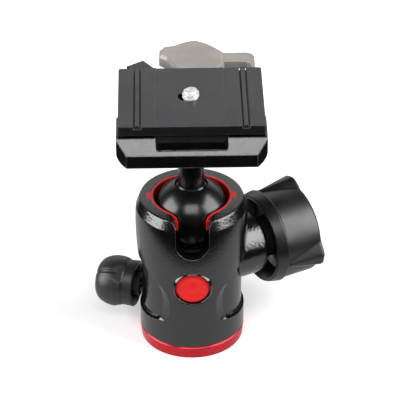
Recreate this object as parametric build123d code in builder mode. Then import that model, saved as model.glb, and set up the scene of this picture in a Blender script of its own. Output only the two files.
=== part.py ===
"""Compact ball head for a photo tripod, with a quick-release clamp and its camera plate.

Frame: origin at the centre of the base's underside, +Z up through the camera screw,
-Y towards the drop notch and the badge, +X towards the ball lock knob.
Every piece is a solid of its own, written to parts/ under its node's name.
"""

import os
from math import cos, radians, sin, sqrt

from build123d import *

os.makedirs("parts", exist_ok=True)

# ---------------------------------------------------------------- fits
slide_gap = 0.05            # radial, a shaft or piston in its bore
face_gap = 0.05             # between faces that turn or slide on each other
cover_gap = 0.3             # between outer surfaces that pass each other

# ---------------------------------------------------------------- base and panning spigot
base_radius = 20.0
base_foot_radius = 19.6
base_thickness = 4.8
spigot_radius = 11.5
spigot_top_drop = 0.8       # below the hub's top
base_thread_radius = 3.97   # tapping size of a 3/8 inch thread
base_bush_radius = 6.5
base_bush_length = 12.0
base_bush_groove = 0.5
glide_inner_radius = 12.6
glide_outer_radius = 15.6
glide_thickness = 0.5
pan_washer_thickness = 0.8
pan_washer_radius = 14.2
circlip_thickness = 1.15
circlip_outer_radius = 13.6
circlip_groove_depth = 1.1
circlip_opening = 5.0

# ---------------------------------------------------------------- housing
housing_bore = 16.0
housing_radius = 20.0
shoulder_radius = 21.2
shoulder_drop = 3.0         # below the ball's centre
rim_rise = 8.5              # above the ball's centre
rim_radius = 19.4
rim_rounding = 0.9
mouth_radius = 15.3         # the bore narrows to this under the rim
mouth_lip = 2.2
straight_height = 27.0      # the outer wall starts to swell above this
waist_half_width = 19.0     # the waist's core is an ellipse
waist_half_depth = 17.3
hub_top_drop = 6.5          # below the lock knob's axis
hub_shelf_depth = 3.8
hub_recess_radius = 14.6
thrust_plate_thickness = 2.0

# ---------------------------------------------------------------- drop notch
notch_half_width = 6.2
notch_centre_drop = 0.7     # below the ball's centre
notch_flare_radius = 3.0
liner_notch_half_width = 5.2
liner_notch_flare_radius = 3.4

# ---------------------------------------------------------------- badge
badge_height = 32.2
badge_radius = 7.6
badge_depth = 1.9
badge_disc_radius = 6.4
badge_ring_gap = 0.1
badge_bezel_thickness = 1.2
badge_bezel_bevel = 0.35
badge_disc_thickness = 1.2
badge_disc_dome = 0.35

# ---------------------------------------------------------------- ball, liner and seat
ball_radius = 15.0
ball_height = 53.0
liner_wall = 0.9
liner_depth = 5.9           # below the rim
liner_lip_drop = 4.1        # below the rim
liner_tab_width = 4.5
liner_tab_radius = 16.8
liner_tab_depth = 1.6
seat_inner_radius = 9.5
seat_outer_radius = 14.6
seat_top_drop = 7.2         # below the ball's centre
disc_spring_thickness = 0.8
disc_spring_rise = 0.4
ball_neck_radius = 6.3
ball_flange_radius = 5.6
ball_groove_depth = 1.0

# ---------------------------------------------------------------- ball lock: wedge, piston, screw, knob
lock_azimuth = 28.0
lock_drop = 20.5            # the knob's axis, below the ball's centre
lock_boss_radius = 12.5
lock_boss_end = 26.8
lock_screw_radius = 4.0
wedge_width = 10.0
wedge_slope = 0.25
wedge_inner_end = -11.0
wedge_outer_end = 13.4
wedge_block_length = 4.8
wedge_block_rise = 5.1      # above the knob's axis
wedge_slope_rise = 3.5      # the slope where it meets the block, above the knob's axis
piston_bottom_drop = 3.3    # below the knob's axis
piston_top_drop = 13.7      # below the ball's centre
piston_dish_radius = 8.4
piston_dish_depth = 1.9
knob_start = 28.2           # distances along the knob's axis from the head's axis
knob_band_end = 32.7
knob_end = 47.8
knob_skirt_radius = 17.4
knob_band_radius = 18.3
knob_body_radius = 18.0
knob_wall = 1.5
knob_cavity_end = 37.0
knob_core_radius = 8.0
knob_cap_radius = 12.5
knob_cap_depth = 0.8
knob_rounding = 1.3
lobe_root_radius = 16.0
lobe_tip_radius = 20.6
lobe_half_width = 6.2
lobe_tip_half_width = 1.8
lobe_start_half_width = 1.0
lobe_start_tip_half_width = 0.2
lobe_step = 0.4             # the lobes end this far short of the knob's face
lobe_angles = (72.0, 192.0, 312.0)

# ---------------------------------------------------------------- pan lock: pad, screw, knob
pan_azimuth = 163.0
pan_drop = 15.7             # below the lock knob's axis
pan_screw_radius = 3.0
pad_length = 2.6
pan_knob_start = 22.0
pan_knob_end = 37.8
pan_knob_skirt_radius = 9.0
pan_knob_neck_radius = 8.8
pan_knob_neck = 26.2
pan_knob_body_radius = 9.9
pan_knob_nose_radius = 4.6
pan_knob_wall = 1.3
pan_knob_cavity = 4.5
pan_knob_widest = 29.5
pan_flat_start = 8.7        # the grip flats' distance from the knob's axis, at the neck
pan_flat_lean = 0.26        # and how fast they lean outwards from there
pan_insert_radius = 4.6
pan_flat_angles = (55.0, 175.0, 295.0)

# ---------------------------------------------------------------- stem
stem_radius = 4.9
stem_spigot_radius = 4.0
stem_spigot_length = 12.5
stem_flange_radius = 10.0
stem_flange_thickness = 2.5
stem_cone_length = 7.0
stem_tenon_radius = 6.0
stem_tenon_height = 2.6
platform_screw_radius = 3.0
platform_screw_head = 5.4
platform_screw_length = 11.0

# ---------------------------------------------------------------- clamp
clamp_depth = 14.5          # all the clamp's heights are below the plate's top
clamp_floor = 5.1
clamp_half_width = 27.3
clamp_waist_half_width = 25.0
clamp_front = 26.0
clamp_back = 30.0
clamp_corner = 3.7
clamp_edge_rounding = 4.2
front_face_height = 5.0
slope_depth = 4.0
clamp_wall_drop = 4.4
side_wall_thickness = 2.4
side_wall_end = -7.0
recess_half_width = 13.1
recess_corner = 2.0
recess_lip = 1.4
back_block_start = 22.6
back_block_drop = 4.9
left_block_edge = -12.5
right_block_edge = 21.2
right_block_drop = 0.6

# ---------------------------------------------------------------- lever, its pivot and the safety catch
lever_x = 0.5
lever_y = 35.2
lever_hub_radius = 9.2
lever_drop = 1.0            # the lever's heights are below the plate's top
lever_cap_thickness = 4.8
lever_bevel = 1.0
lever_front = 22.3
lever_right = 13.0
lever_arm_drop = 1.7
lever_arm_reach = 24.6
lever_arm_back = 35.8
lever_arm_thickness = 3.5
lever_arm_corner = 3.4
lever_arm_edge = 0.6
lever_finger_width = 1.7    # the arm's end hooks forward round the thumb's space
lever_thumb_depth = 6.9
lever_thumb_corner = 3.0
pivot_boss_radius = 9.5
pivot_pad_radius = 8.6
pivot_pad_height = 0.6
pivot_pin_radius = 3.0
pivot_pin_drop = 3.9
pivot_head_radius = 5.0
pivot_head_thickness = 1.8
jaw_offset = 2.5            # the jaw's round face is eccentric by this much
jaw_half_angle = 20.0
jaw_gap = 0.1
spring_radius = 5.1         # to the middle of the wire
spring_wire = 0.9
spring_pitch = 1.05
spring_turns = 2.5
catch_x = -18.6
catch_y = 26.5
catch_length = 7.5
catch_width = 6.8
catch_angle = 35.0
catch_thickness = 2.4
catch_pin_radius = 1.5
catch_pin_head = 2.2
catch_pin_head_thickness = 0.6
trip_pin_radius = 1.6
trip_pin_x = -16.0

# ---------------------------------------------------------------- camera plate and screw
plate_half_width = 26.6
plate_half_depth = 21.0
plate_top = 104.3
plate_flange = 3.8
plate_corner = 1.0
dovetail_top_half_depth = 15.5
dovetail_bottom_half_depth = 17.5
dovetail_half_width = 24.6
dovetail_depth = 9.2
strip_x = 19.6
strip_groove_width = 2.7
strip_groove_depth = 1.1
strip_width = 1.9
strip_proud = 0.4
line_x = 12.6
line_width = 0.35
line_depth = 0.2
camera_screw_radius = 3.175
camera_screw_shank = 2.6    # the plain neck under the thread
camera_screw_chamfer = 0.9
camera_screw_proud = 3.0
camera_screw_head = 7.5
camera_screw_head_thickness = 2.4
coin_slot_width = 1.6
coin_slot_depth = 1.2
screw_slot_travel = 1.4
screw_hole_gap = 0.2
screw_pocket_gap = 0.6
screw_pocket_drop = 4.9
screw_washer_thickness = 0.5
screw_washer_radius = 7.0

# ---------------------------------------------------------------- worked-out sizes
rim_height = ball_height + rim_rise
shoulder_height = ball_height - shoulder_drop
notch_centre_height = ball_height - notch_centre_drop
liner_bottom = rim_height - liner_depth
liner_lip_height = rim_height - liner_lip_drop
seat_top = ball_height - seat_top_drop
lock_height = ball_height - lock_drop
wedge_block_top = lock_height + wedge_block_rise
wedge_slope_top = lock_height + wedge_slope_rise
piston_bottom = lock_height - piston_bottom_drop
piston_top = ball_height - piston_top_drop
clamp_bottom = plate_top - clamp_depth
clamp_wall_top = plate_top - clamp_wall_drop
back_block_top = plate_top - back_block_drop
lever_top = plate_top - lever_drop
lever_arm_top = plate_top - lever_arm_drop
pivot_pin_top = plate_top - pivot_pin_drop
dovetail_bottom = plate_top - dovetail_depth
screw_pocket_top = plate_top - screw_pocket_drop
hub_top_height = lock_height - hub_top_drop
hub_shelf_height = hub_top_height - hub_shelf_depth
spigot_top = hub_top_height - spigot_top_drop
pan_height = lock_height - pan_drop
pan_insert_start = housing_radius + cover_gap
housing_bottom = base_thickness + cover_gap
mouth_bottom = rim_height - mouth_lip
hub_bottom = base_thickness + glide_thickness + face_gap
pan_washer_bottom = hub_shelf_height + face_gap
circlip_bottom = pan_washer_bottom + pan_washer_thickness + face_gap
thrust_plate_top = hub_top_height + thrust_plate_thickness
piston_radius = housing_bore - slide_gap
socket_radius = ball_radius + slide_gap
clamp_floor_top = clamp_bottom + clamp_floor
stem_bottom = ball_height + sqrt(ball_radius**2 - ball_neck_radius**2) + 0.5
plate_bottom = plate_top - plate_flange
front_face_top = clamp_bottom + front_face_height


def sideways(azimuth, height):
    """Cross-section plane, half-profile plane and axis of a shaft that points out sideways."""
    outward = (cos(radians(azimuth)), sin(radians(azimuth)), 0)
    centre = (0, 0, height)
    cross = Plane(centre, x_dir=(-outward[1], outward[0], 0), z_dir=outward)
    half = Plane(centre, x_dir=outward, z_dir=(outward[1], -outward[0], 0))
    return cross, half, Axis(centre, outward)


lock_cross, lock_half, lock_axis = sideways(lock_azimuth, lock_height)
lock_side = Plane((0, 0, 0), x_dir=lock_half.x_dir, z_dir=lock_half.z_dir)
pan_cross, pan_half, pan_axis = sideways(pan_azimuth, pan_height)


def finish(builder, name):
    """Name a finished piece and write it."""
    builder.part.label = name
    export_step(builder.part, f"parts/{name}.step")


def ring(name, bottom, top, inner, outer):
    """A plain ring about the head's axis."""
    with BuildPart() as piece:
        with BuildSketch(Plane.XY.offset(bottom)):
            Circle(outer)
            Circle(inner, mode=Mode.SUBTRACT)
        extrude(amount=top - bottom)
    finish(piece, name)


# ================================================================ base
with BuildPart() as base_disc:
    with BuildSketch(Plane.XZ):
        with BuildLine():
            Polyline(
                (0, 0),
                (base_foot_radius, 0),
                (base_radius, base_thickness - 0.4),
                (base_radius - 0.4, base_thickness),
                (spigot_radius, base_thickness),
                (spigot_radius, circlip_bottom - face_gap),
                (spigot_radius - circlip_groove_depth, circlip_bottom - face_gap),
                (spigot_radius - circlip_groove_depth, circlip_bottom + circlip_thickness + face_gap),
                (spigot_radius, circlip_bottom + circlip_thickness + face_gap),
                (spigot_radius, spigot_top - 0.4),
                (spigot_radius - 0.4, spigot_top),
                (0, spigot_top),
                close=True,
            )
        make_face()
    revolve(axis=Axis.Z)
    with BuildSketch():
        Circle(base_bush_radius)
    extrude(amount=base_bush_length, mode=Mode.SUBTRACT)
finish(base_disc, "base_disc")

# The threaded bush, with the groove that keys it into the disc.
with BuildPart() as base_thread_bush:
    with BuildSketch():
        Circle(base_bush_radius)
        Circle(base_thread_radius, mode=Mode.SUBTRACT)
    extrude(amount=base_bush_length)
    with BuildSketch(Plane.XY.offset(base_bush_length / 2 - 1)):
        Circle(base_bush_radius)
        Circle(base_bush_radius - base_bush_groove, mode=Mode.SUBTRACT)
    extrude(amount=2, mode=Mode.SUBTRACT)
finish(base_thread_bush, "base_thread_bush")

ring(
    "pan_glide_ring",
    base_thickness,
    base_thickness + glide_thickness,
    glide_inner_radius,
    glide_outer_radius,
)
ring(
    "pan_washer",
    pan_washer_bottom,
    pan_washer_bottom + pan_washer_thickness,
    spigot_radius + slide_gap,
    pan_washer_radius,
)

with BuildPart() as pan_circlip:
    with BuildSketch(Plane.XY.offset(circlip_bottom)):
        Circle(circlip_outer_radius)
        Circle(spigot_radius - circlip_groove_depth + face_gap, mode=Mode.SUBTRACT)
        with Locations((0, spigot_radius)):
            Rectangle(circlip_opening, 2 * circlip_groove_depth + 6, mode=Mode.SUBTRACT)
    extrude(amount=circlip_thickness)
finish(pan_circlip, "pan_circlip")

# ================================================================ housing
# One side of the waist is cut away beside the front strip. The cut's walls slope outwards,
# so its window grows from the core to the surface.
window_pivot = (-27.6, 25.0)
window_points = (
    (-18.0, 36.2),
    (-13.2, 31.6),
    (-11.2, 25.0),
    (-11.3, 19.3),
    (-12.4, 15.8),
    (-15.0, 14.1),
    (-18.0, 13.5),
)
window_top = 39.0
window_bottom = 13.2
window_plane = 15.2
window_outer_plane = 22.0
window_growth = 1.34


def waist_window(scale):
    """The cut's outline in the front view, scaled about a point outside the housing."""
    outline = [(window_pivot[0], window_top), *window_points, (window_pivot[0], window_bottom)]
    scaled = [
        (window_pivot[0] + (x - window_pivot[0]) * scale, window_pivot[1] + (z - window_pivot[1]) * scale)
        for x, z in outline
    ]
    with BuildSketch() as window:
        with BuildLine():
            Spline(*scaled, tangents=((1, 0), (-1, 0)))
            Line(scaled[-1], scaled[0])
        make_face()
    return window.sketch


with BuildPart() as waist_cut:
    with BuildSketch(Plane.XZ):
        add(waist_window(1.0))
    extrude(amount=window_plane)
    with BuildSketch(Plane.XZ.offset(window_plane)):
        add(waist_window(1.0))
    with BuildSketch(Plane.XZ.offset(window_outer_plane)):
        add(waist_window(window_growth))
    loft(ruled=True)
    with BuildSketch():
        Ellipse(waist_half_width, waist_half_depth)
    extrude(amount=rim_height, mode=Mode.SUBTRACT)
    mirror(about=Plane.XZ)
    mirror(about=Plane.YZ)


def notch_outline(half_width, flare_radius):
    """A drop notch in the front view: a round-bottomed slot that flares out at the rim."""
    flare_height = rim_height - flare_radius
    flare_edge = half_width + flare_radius
    with BuildSketch() as notch:
        with BuildLine():
            CenterArc((0, notch_centre_height), half_width, 180, 180)
            Line((half_width, notch_centre_height), (half_width, flare_height))
            CenterArc((flare_edge, flare_height), flare_radius, 90, 90)
            Polyline(
                (flare_edge, rim_height),
                (flare_edge, rim_height + 2),
                (-flare_edge, rim_height + 2),
                (-flare_edge, rim_height),
            )
            CenterArc((-flare_edge, flare_height), flare_radius, 0, 90)
            Line((-half_width, flare_height), (-half_width, notch_centre_height))
        make_face()
    return notch.sketch


with BuildPart() as housing:
    with BuildSketch(Plane.XZ):
        with BuildLine():
            Polyline(
                (0, rim_height),
                (0, housing_bottom),
                (housing_radius - 0.3, housing_bottom),
                (housing_radius, housing_bottom + 0.3),
                (housing_radius, straight_height),
            )
            Spline(
                (housing_radius, straight_height),
                (shoulder_radius - 0.35, shoulder_height - 9),
                (shoulder_radius, shoulder_height),
                (shoulder_radius - 0.25, rim_height - 4),
                tangents=((0, 1), (-0.1, 1)),
            )
            Line((shoulder_radius - 0.25, rim_height - 4), (rim_radius, rim_height))
            Line((rim_radius, rim_height), (0, rim_height))
        make_face()
    revolve(axis=Axis.Z)
    rim_edge = housing.edges().filter_by(GeomType.CIRCLE).sort_by(Axis.Z)[-1]
    fillet(rim_edge, radius=rim_rounding)
    add(waist_cut.part, mode=Mode.SUBTRACT)
    # The boss that carries the lock screw.
    with BuildSketch(lock_cross):
        Circle(lock_boss_radius)
    extrude(amount=lock_boss_end)
    boss_edge = housing.edges().filter_by(GeomType.CIRCLE).sort_by(lock_axis)[-1]
    chamfer(boss_edge, length=0.8)
    # The bore, open at both ends, with the lip that holds the liner down.
    with BuildSketch(Plane.XY.offset(housing_bottom)):
        Circle(housing_bore)
    extrude(amount=mouth_bottom - housing_bottom, mode=Mode.SUBTRACT)
    with BuildSketch(Plane.XY.offset(mouth_bottom)):
        Circle(mouth_radius)
    extrude(amount=mouth_lip, mode=Mode.SUBTRACT)
    # Screw holes.
    with BuildSketch(lock_cross):
        Circle(lock_screw_radius + slide_gap)
    extrude(amount=lock_boss_end, mode=Mode.SUBTRACT)
    with BuildSketch(pan_cross):
        Circle(pan_screw_radius + slide_gap)
    extrude(amount=base_radius, mode=Mode.SUBTRACT)
    # The badge's recess.
    with BuildSketch(Plane.XZ.offset(housing_radius - badge_depth)):
        with Locations((0, badge_height)):
            Circle(badge_radius)
    extrude(amount=2 * badge_depth, mode=Mode.SUBTRACT)
    # Slots for the liner's tabs.
    with BuildSketch(Plane.XY.offset(rim_height - liner_tab_depth)):
        Rectangle(2 * liner_tab_radius, liner_tab_width)
    extrude(amount=liner_tab_depth, mode=Mode.SUBTRACT)
    with BuildSketch(Plane.XZ):
        add(notch_outline(notch_half_width, notch_flare_radius))
    extrude(amount=shoulder_radius + 1, mode=Mode.SUBTRACT)
finish(housing, "housing")

# The threaded hub that closes the housing from below and runs on the spigot.
with BuildPart() as pan_hub:
    with BuildSketch(Plane.XY.offset(hub_bottom)):
        Circle(housing_bore)
        Circle(spigot_radius + slide_gap, mode=Mode.SUBTRACT)
    extrude(amount=hub_top_height - hub_bottom)
    with BuildSketch(Plane.XY.offset(hub_shelf_height)):
        Circle(hub_recess_radius)
    extrude(amount=hub_top_height - hub_shelf_height, mode=Mode.SUBTRACT)
    with BuildSketch(pan_cross):
        Circle(pan_screw_radius + slide_gap)
    extrude(amount=base_radius, mode=Mode.SUBTRACT)
finish(pan_hub, "pan_hub")

with BuildPart() as thrust_plate:
    with BuildSketch(Plane.XY.offset(hub_top_height)):
        Circle(housing_bore)
    extrude(amount=thrust_plate_thickness)
finish(thrust_plate, "thrust_plate")

# The badge: a plain ring round a plain domed disc.
badge_floor = Plane.XZ.offset(housing_radius - badge_depth)
with BuildPart() as badge_bezel:
    with BuildSketch(badge_floor):
        with Locations((0, badge_height)):
            Circle(badge_radius - badge_ring_gap)
            Circle(badge_disc_radius + badge_ring_gap, mode=Mode.SUBTRACT)
    extrude(amount=badge_bezel_thickness)
    chamfer(badge_bezel.faces().sort_by(Axis.Y)[0].edges(), length=badge_bezel_bevel)
finish(badge_bezel, "badge_bezel")

with BuildPart() as badge_disc:
    with BuildSketch(Plane.YZ):
        floor_y = badge_depth - housing_radius
        face_y = floor_y - badge_disc_thickness
        with BuildLine():
            Polyline(
                (face_y - badge_disc_dome, badge_height),
                (floor_y, badge_height),
                (floor_y, badge_height + badge_disc_radius),
                (face_y, badge_height + badge_disc_radius),
            )
            Spline(
                (face_y, badge_height + badge_disc_radius),
                (face_y - badge_disc_dome * 0.8, badge_height + badge_disc_radius * 0.5),
                (face_y - badge_disc_dome, badge_height),
                tangents=((-1, -1), (0, -1)),
            )
        make_face()
    revolve(axis=Axis((0, 0, badge_height), (0, 1, 0)))
finish(badge_disc, "badge_disc")

# ================================================================ ball socket
# The liner goes in from below, up to the housing's lip, and holds the ball from above.
# Its inside is the ball's socket, then a lip that opens out.
socket_low = sqrt(socket_radius**2 - (ball_height - liner_bottom) ** 2)
socket_high = sqrt(socket_radius**2 - (liner_lip_height - ball_height) ** 2)
socket_middle_height = (liner_bottom + liner_lip_height) / 2
socket_middle = sqrt(socket_radius**2 - (socket_middle_height - ball_height) ** 2)
with BuildPart() as ball_liner:
    with BuildSketch(Plane.XZ):
        with BuildLine():
            ThreePointArc(
                (socket_low, liner_bottom),
                (socket_middle, socket_middle_height),
                (socket_high, liner_lip_height),
            )
            Polyline(
                (socket_high, liner_lip_height),
                (mouth_radius - liner_wall, rim_height),
                (mouth_radius, rim_height),
                (mouth_radius, mouth_bottom),
                (housing_bore, mouth_bottom),
                (housing_bore, liner_bottom),
                (socket_low, liner_bottom),
            )
        make_face()
    revolve(axis=Axis.Z)
    with BuildSketch(Plane.XY.offset(rim_height - liner_tab_depth)):
        Rectangle(2 * liner_tab_radius, liner_tab_width)
        Circle(mouth_radius - liner_wall / 2, mode=Mode.SUBTRACT)
    extrude(amount=liner_tab_depth)
    with BuildSketch(Plane.XZ):
        add(notch_outline(liner_notch_half_width, liner_notch_flare_radius))
    extrude(amount=housing_bore + 1, mode=Mode.SUBTRACT)
finish(ball_liner, "ball_liner")

disc_spring_top = piston_top + disc_spring_thickness + disc_spring_rise
seat_bottom = disc_spring_top + face_gap
with BuildPart() as ball_seat:
    with BuildSketch(Plane.XZ):
        with BuildLine():
            seat_start = ball_height - sqrt(socket_radius**2 - seat_inner_radius**2)
            seat_edge = sqrt(socket_radius**2 - (ball_height - seat_top) ** 2)
            seat_middle = (seat_inner_radius + seat_edge) / 2
            ThreePointArc(
                (seat_inner_radius, seat_start),
                (seat_middle, ball_height - sqrt(socket_radius**2 - seat_middle**2)),
                (seat_edge, seat_top),
            )
            Polyline(
                (seat_edge, seat_top),
                (seat_outer_radius, seat_top),
                (seat_outer_radius, seat_bottom),
                (seat_inner_radius, seat_bottom),
                (seat_inner_radius, seat_start),
            )
        make_face()
    revolve(axis=Axis.Z)
finish(ball_seat, "ball_seat")

with BuildPart() as disc_spring:
    with BuildSketch(Plane.XZ):
        Polygon(
            (seat_inner_radius, piston_top + disc_spring_rise),
            (seat_inner_radius, disc_spring_top),
            (seat_outer_radius, disc_spring_top - disc_spring_rise),
            (seat_outer_radius, piston_top),
            align=None,
        )
    revolve(axis=Axis.Z)
finish(disc_spring, "disc_spring")

# ================================================================ ball and stem
ball_neck_height = ball_height + sqrt(ball_radius**2 - ball_neck_radius**2)
ball_flange_height = stem_bottom - face_gap
with BuildPart() as ball:
    with BuildSketch(Plane.XZ):
        with BuildLine():
            ThreePointArc(
                (0, ball_height - ball_radius),
                (ball_radius, ball_height),
                (ball_neck_radius, ball_neck_height),
            )
            Polyline(
                (ball_neck_radius, ball_neck_height),
                (ball_neck_radius - 0.2, ball_neck_height - ball_groove_depth),
                (ball_flange_radius, ball_neck_height - ball_groove_depth),
                (ball_flange_radius, ball_flange_height - 0.5),
                (ball_flange_radius - 0.5, ball_flange_height),
                (stem_spigot_radius + slide_gap, ball_flange_height),
                (stem_spigot_radius + slide_gap, stem_bottom - stem_spigot_length - face_gap),
                (0, stem_bottom - stem_spigot_length - face_gap),
                (0, ball_height - ball_radius),
            )
        make_face()
    revolve(axis=Axis.Z)
finish(ball, "ball")

stem_flange_bottom = clamp_bottom - stem_flange_thickness
screw_bottom = clamp_floor_top - platform_screw_length
with BuildPart() as stem:
    with BuildSketch(Plane.XZ):
        Polygon(
            (0, stem_bottom - stem_spigot_length),
            (stem_spigot_radius, stem_bottom - stem_spigot_length),
            (stem_spigot_radius, stem_bottom),
            (stem_radius, stem_bottom),
            (stem_radius, stem_flange_bottom - stem_cone_length),
            (stem_flange_radius, stem_flange_bottom),
            (stem_flange_radius, clamp_bottom),
            (stem_tenon_radius, clamp_bottom),
            (stem_tenon_radius, clamp_bottom + stem_tenon_height),
            (platform_screw_radius, clamp_bottom + stem_tenon_height),
            (platform_screw_radius, screw_bottom),
            (0, screw_bottom),
            align=None,
        )
    revolve(axis=Axis.Z)
finish(stem, "stem")

# ================================================================ ball lock
with BuildPart() as lock_wedge:
    block_start = wedge_outer_end - wedge_block_length
    wedge_tip_height = wedge_slope_top - wedge_slope * (block_start - wedge_inner_end)
    with BuildSketch(lock_side):
        Polygon(
            (wedge_inner_end, thrust_plate_top + face_gap),
            (wedge_outer_end, thrust_plate_top + face_gap),
            (wedge_outer_end, wedge_block_top),
            (block_start, wedge_block_top),
            (block_start, wedge_slope_top),
            (wedge_inner_end, wedge_tip_height),
            align=None,
        )
    extrude(amount=wedge_width / 2, both=True)
finish(lock_wedge, "lock_wedge")

# The piston rides on the wedge and lifts the seat. Its channel follows the wedge's slope.
with BuildPart() as lift_piston:
    with BuildSketch(Plane.XY.offset(piston_bottom)):
        Circle(piston_radius)
    extrude(amount=piston_top - piston_bottom)
    with BuildSketch(Plane.XY.offset(piston_top)):
        Circle(piston_dish_radius)
    extrude(amount=-piston_dish_depth, mode=Mode.SUBTRACT)
    channel_step = block_start - cover_gap
    channel_slope_top = wedge_slope_top - wedge_slope * cover_gap + face_gap
    channel_end_height = channel_slope_top - wedge_slope * (channel_step + housing_bore)
    with BuildSketch(lock_side):
        Polygon(
            (-housing_bore, piston_bottom - 1),
            (housing_bore, piston_bottom - 1),
            (housing_bore, wedge_block_top + 2 * cover_gap),
            (channel_step, wedge_block_top + 2 * cover_gap),
            (channel_step, channel_slope_top),
            (-housing_bore, channel_end_height),
            align=None,
        )
    extrude(amount=wedge_width / 2 + slide_gap, both=True, mode=Mode.SUBTRACT)
finish(lift_piston, "lift_piston")

with BuildPart() as lock_screw:
    with BuildSketch(lock_cross.offset(wedge_outer_end + face_gap)):
        Circle(lock_screw_radius)
    extrude(amount=knob_cavity_end + 3 - wedge_outer_end - face_gap)
finish(lock_screw, "lock_screw")

with BuildPart() as lock_knob_core:
    with BuildSketch(lock_cross.offset(knob_start + 1)):
        Circle(knob_core_radius)
        Circle(lock_screw_radius, mode=Mode.SUBTRACT)
    extrude(amount=knob_cavity_end - knob_start - 1)
finish(lock_knob_core, "lock_knob_core")


def lobe_section(tip, half_width, tip_half_width, angle):
    """Cross-section of one grip lobe: a trapezium that stands out from the knob."""
    Polygon(
        (lobe_root_radius, -half_width),
        (tip, -tip_half_width),
        (tip, tip_half_width),
        (lobe_root_radius, half_width),
        rotation=angle,
        align=None,
    )


with BuildPart() as lock_knob:
    with BuildSketch(lock_half):
        with BuildLine():
            Polyline(
                (knob_start, 0),
                (knob_start, knob_skirt_radius - 0.6),
                (knob_start + 0.6, knob_skirt_radius),
                (knob_band_end, knob_band_radius),
                (knob_band_end + 0.3, knob_body_radius),
                (knob_end - knob_rounding, knob_body_radius),
                (knob_end, knob_body_radius - knob_rounding),
                (knob_end, 0),
                close=True,
            )
        make_face()
    revolve(axis=lock_axis)
    for lobe_angle in lobe_angles:
        with BuildSketch(lock_cross.offset(knob_band_end)):
            lobe_section(knob_band_radius, lobe_start_half_width, lobe_start_tip_half_width, lobe_angle)
        with BuildSketch(lock_cross.offset(knob_end - lobe_step)):
            lobe_section(lobe_tip_radius, lobe_half_width, lobe_tip_half_width, lobe_angle)
        loft(ruled=True)
    with BuildSketch(lock_cross.offset(knob_start)):
        Circle(knob_skirt_radius - knob_wall)
    extrude(amount=knob_cavity_end - knob_start, mode=Mode.SUBTRACT)
    with BuildSketch(lock_cross.offset(knob_cavity_end)):
        Circle(lock_screw_radius)
    extrude(amount=3, mode=Mode.SUBTRACT)
    with BuildSketch(lock_cross.offset(knob_end)):
        Circle(knob_cap_radius)
    extrude(amount=-knob_cap_depth, mode=Mode.SUBTRACT)
finish(lock_knob, "lock_knob")

with BuildPart() as lock_knob_cap:
    with BuildSketch(lock_cross.offset(knob_end - knob_cap_depth)):
        Circle(knob_cap_radius)
    extrude(amount=knob_cap_depth)
finish(lock_knob_cap, "lock_knob_cap")

# ================================================================ pan lock
# The pad's face is hollowed to the spigot.
with BuildPart() as brake_pad:
    with BuildSketch(pan_cross.offset(spigot_radius - 1)):
        Circle(pan_screw_radius)
    extrude(amount=pad_length + 1)
    with BuildSketch():
        Circle(spigot_radius + face_gap)
    extrude(amount=spigot_top, mode=Mode.SUBTRACT)
finish(brake_pad, "brake_pad")

pan_screw_start = spigot_radius + pad_length + face_gap
with BuildPart() as pan_screw:
    with BuildSketch(pan_cross.offset(pan_screw_start)):
        Circle(pan_screw_radius)
    extrude(amount=pan_knob_start + pan_knob_cavity + 3 - pan_screw_start)
finish(pan_screw, "pan_screw")

with BuildPart() as pan_knob_insert:
    with BuildSketch(pan_cross.offset(pan_insert_start)):
        RegularPolygon(pan_insert_radius, 6)
        Circle(pan_screw_radius, mode=Mode.SUBTRACT)
    extrude(amount=pan_knob_start + pan_knob_cavity - pan_insert_start)
finish(pan_knob_insert, "pan_knob_insert")


def flat_section(distance, angle):
    """Everything beyond a flat at a distance from the knob's axis."""
    Polygon(
        (distance, -pan_knob_body_radius),
        (2 * pan_knob_body_radius, -pan_knob_body_radius),
        (2 * pan_knob_body_radius, pan_knob_body_radius),
        (distance, pan_knob_body_radius),
        rotation=angle,
        align=None,
    )


with BuildPart() as pan_knob:
    with BuildSketch(pan_half):
        with BuildLine():
            Polyline(
                (pan_knob_end, 0),
                (pan_knob_start, 0),
                (pan_knob_start, pan_knob_skirt_radius),
                (pan_knob_neck, pan_knob_neck_radius),
                (pan_knob_neck + 0.3, pan_knob_body_radius - 0.5),
            )
            Spline(
                (pan_knob_neck + 0.3, pan_knob_body_radius - 0.5),
                (pan_knob_widest, pan_knob_body_radius),
                (pan_knob_end - 2.6, pan_knob_nose_radius + 3.3),
                (pan_knob_end, pan_knob_nose_radius),
                tangents=((1, 0.2), (0.2, -1)),
            )
            Line((pan_knob_end, pan_knob_nose_radius), (pan_knob_end, 0))
        make_face()
    revolve(axis=pan_axis)
    # Three grip flats that lean outwards towards the knob's end.
    for flat_angle in pan_flat_angles:
        with BuildSketch(pan_cross.offset(pan_knob_neck)):
            flat_section(pan_flat_start, flat_angle)
        with BuildSketch(pan_cross.offset(pan_knob_end)):
            flat_section(pan_flat_start + pan_flat_lean * (pan_knob_end - pan_knob_neck), flat_angle)
        loft(ruled=True, mode=Mode.SUBTRACT)
    with BuildSketch(pan_cross.offset(pan_knob_start)):
        Circle(pan_knob_skirt_radius - pan_knob_wall)
    extrude(amount=pan_knob_cavity, mode=Mode.SUBTRACT)
    with BuildSketch(pan_cross.offset(pan_knob_start + pan_knob_cavity)):
        Circle(pan_screw_radius)
    extrude(amount=3, mode=Mode.SUBTRACT)
finish(pan_knob, "pan_knob")

# ================================================================ clamp
dovetail_slope = (dovetail_bottom_half_depth - dovetail_top_half_depth) / (plate_bottom - dovetail_bottom)


def dovetail_half_depth(height):
    """Half the plate's dovetail, front to back, at a height."""
    return dovetail_bottom_half_depth - dovetail_slope * (height - dovetail_bottom)


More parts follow.
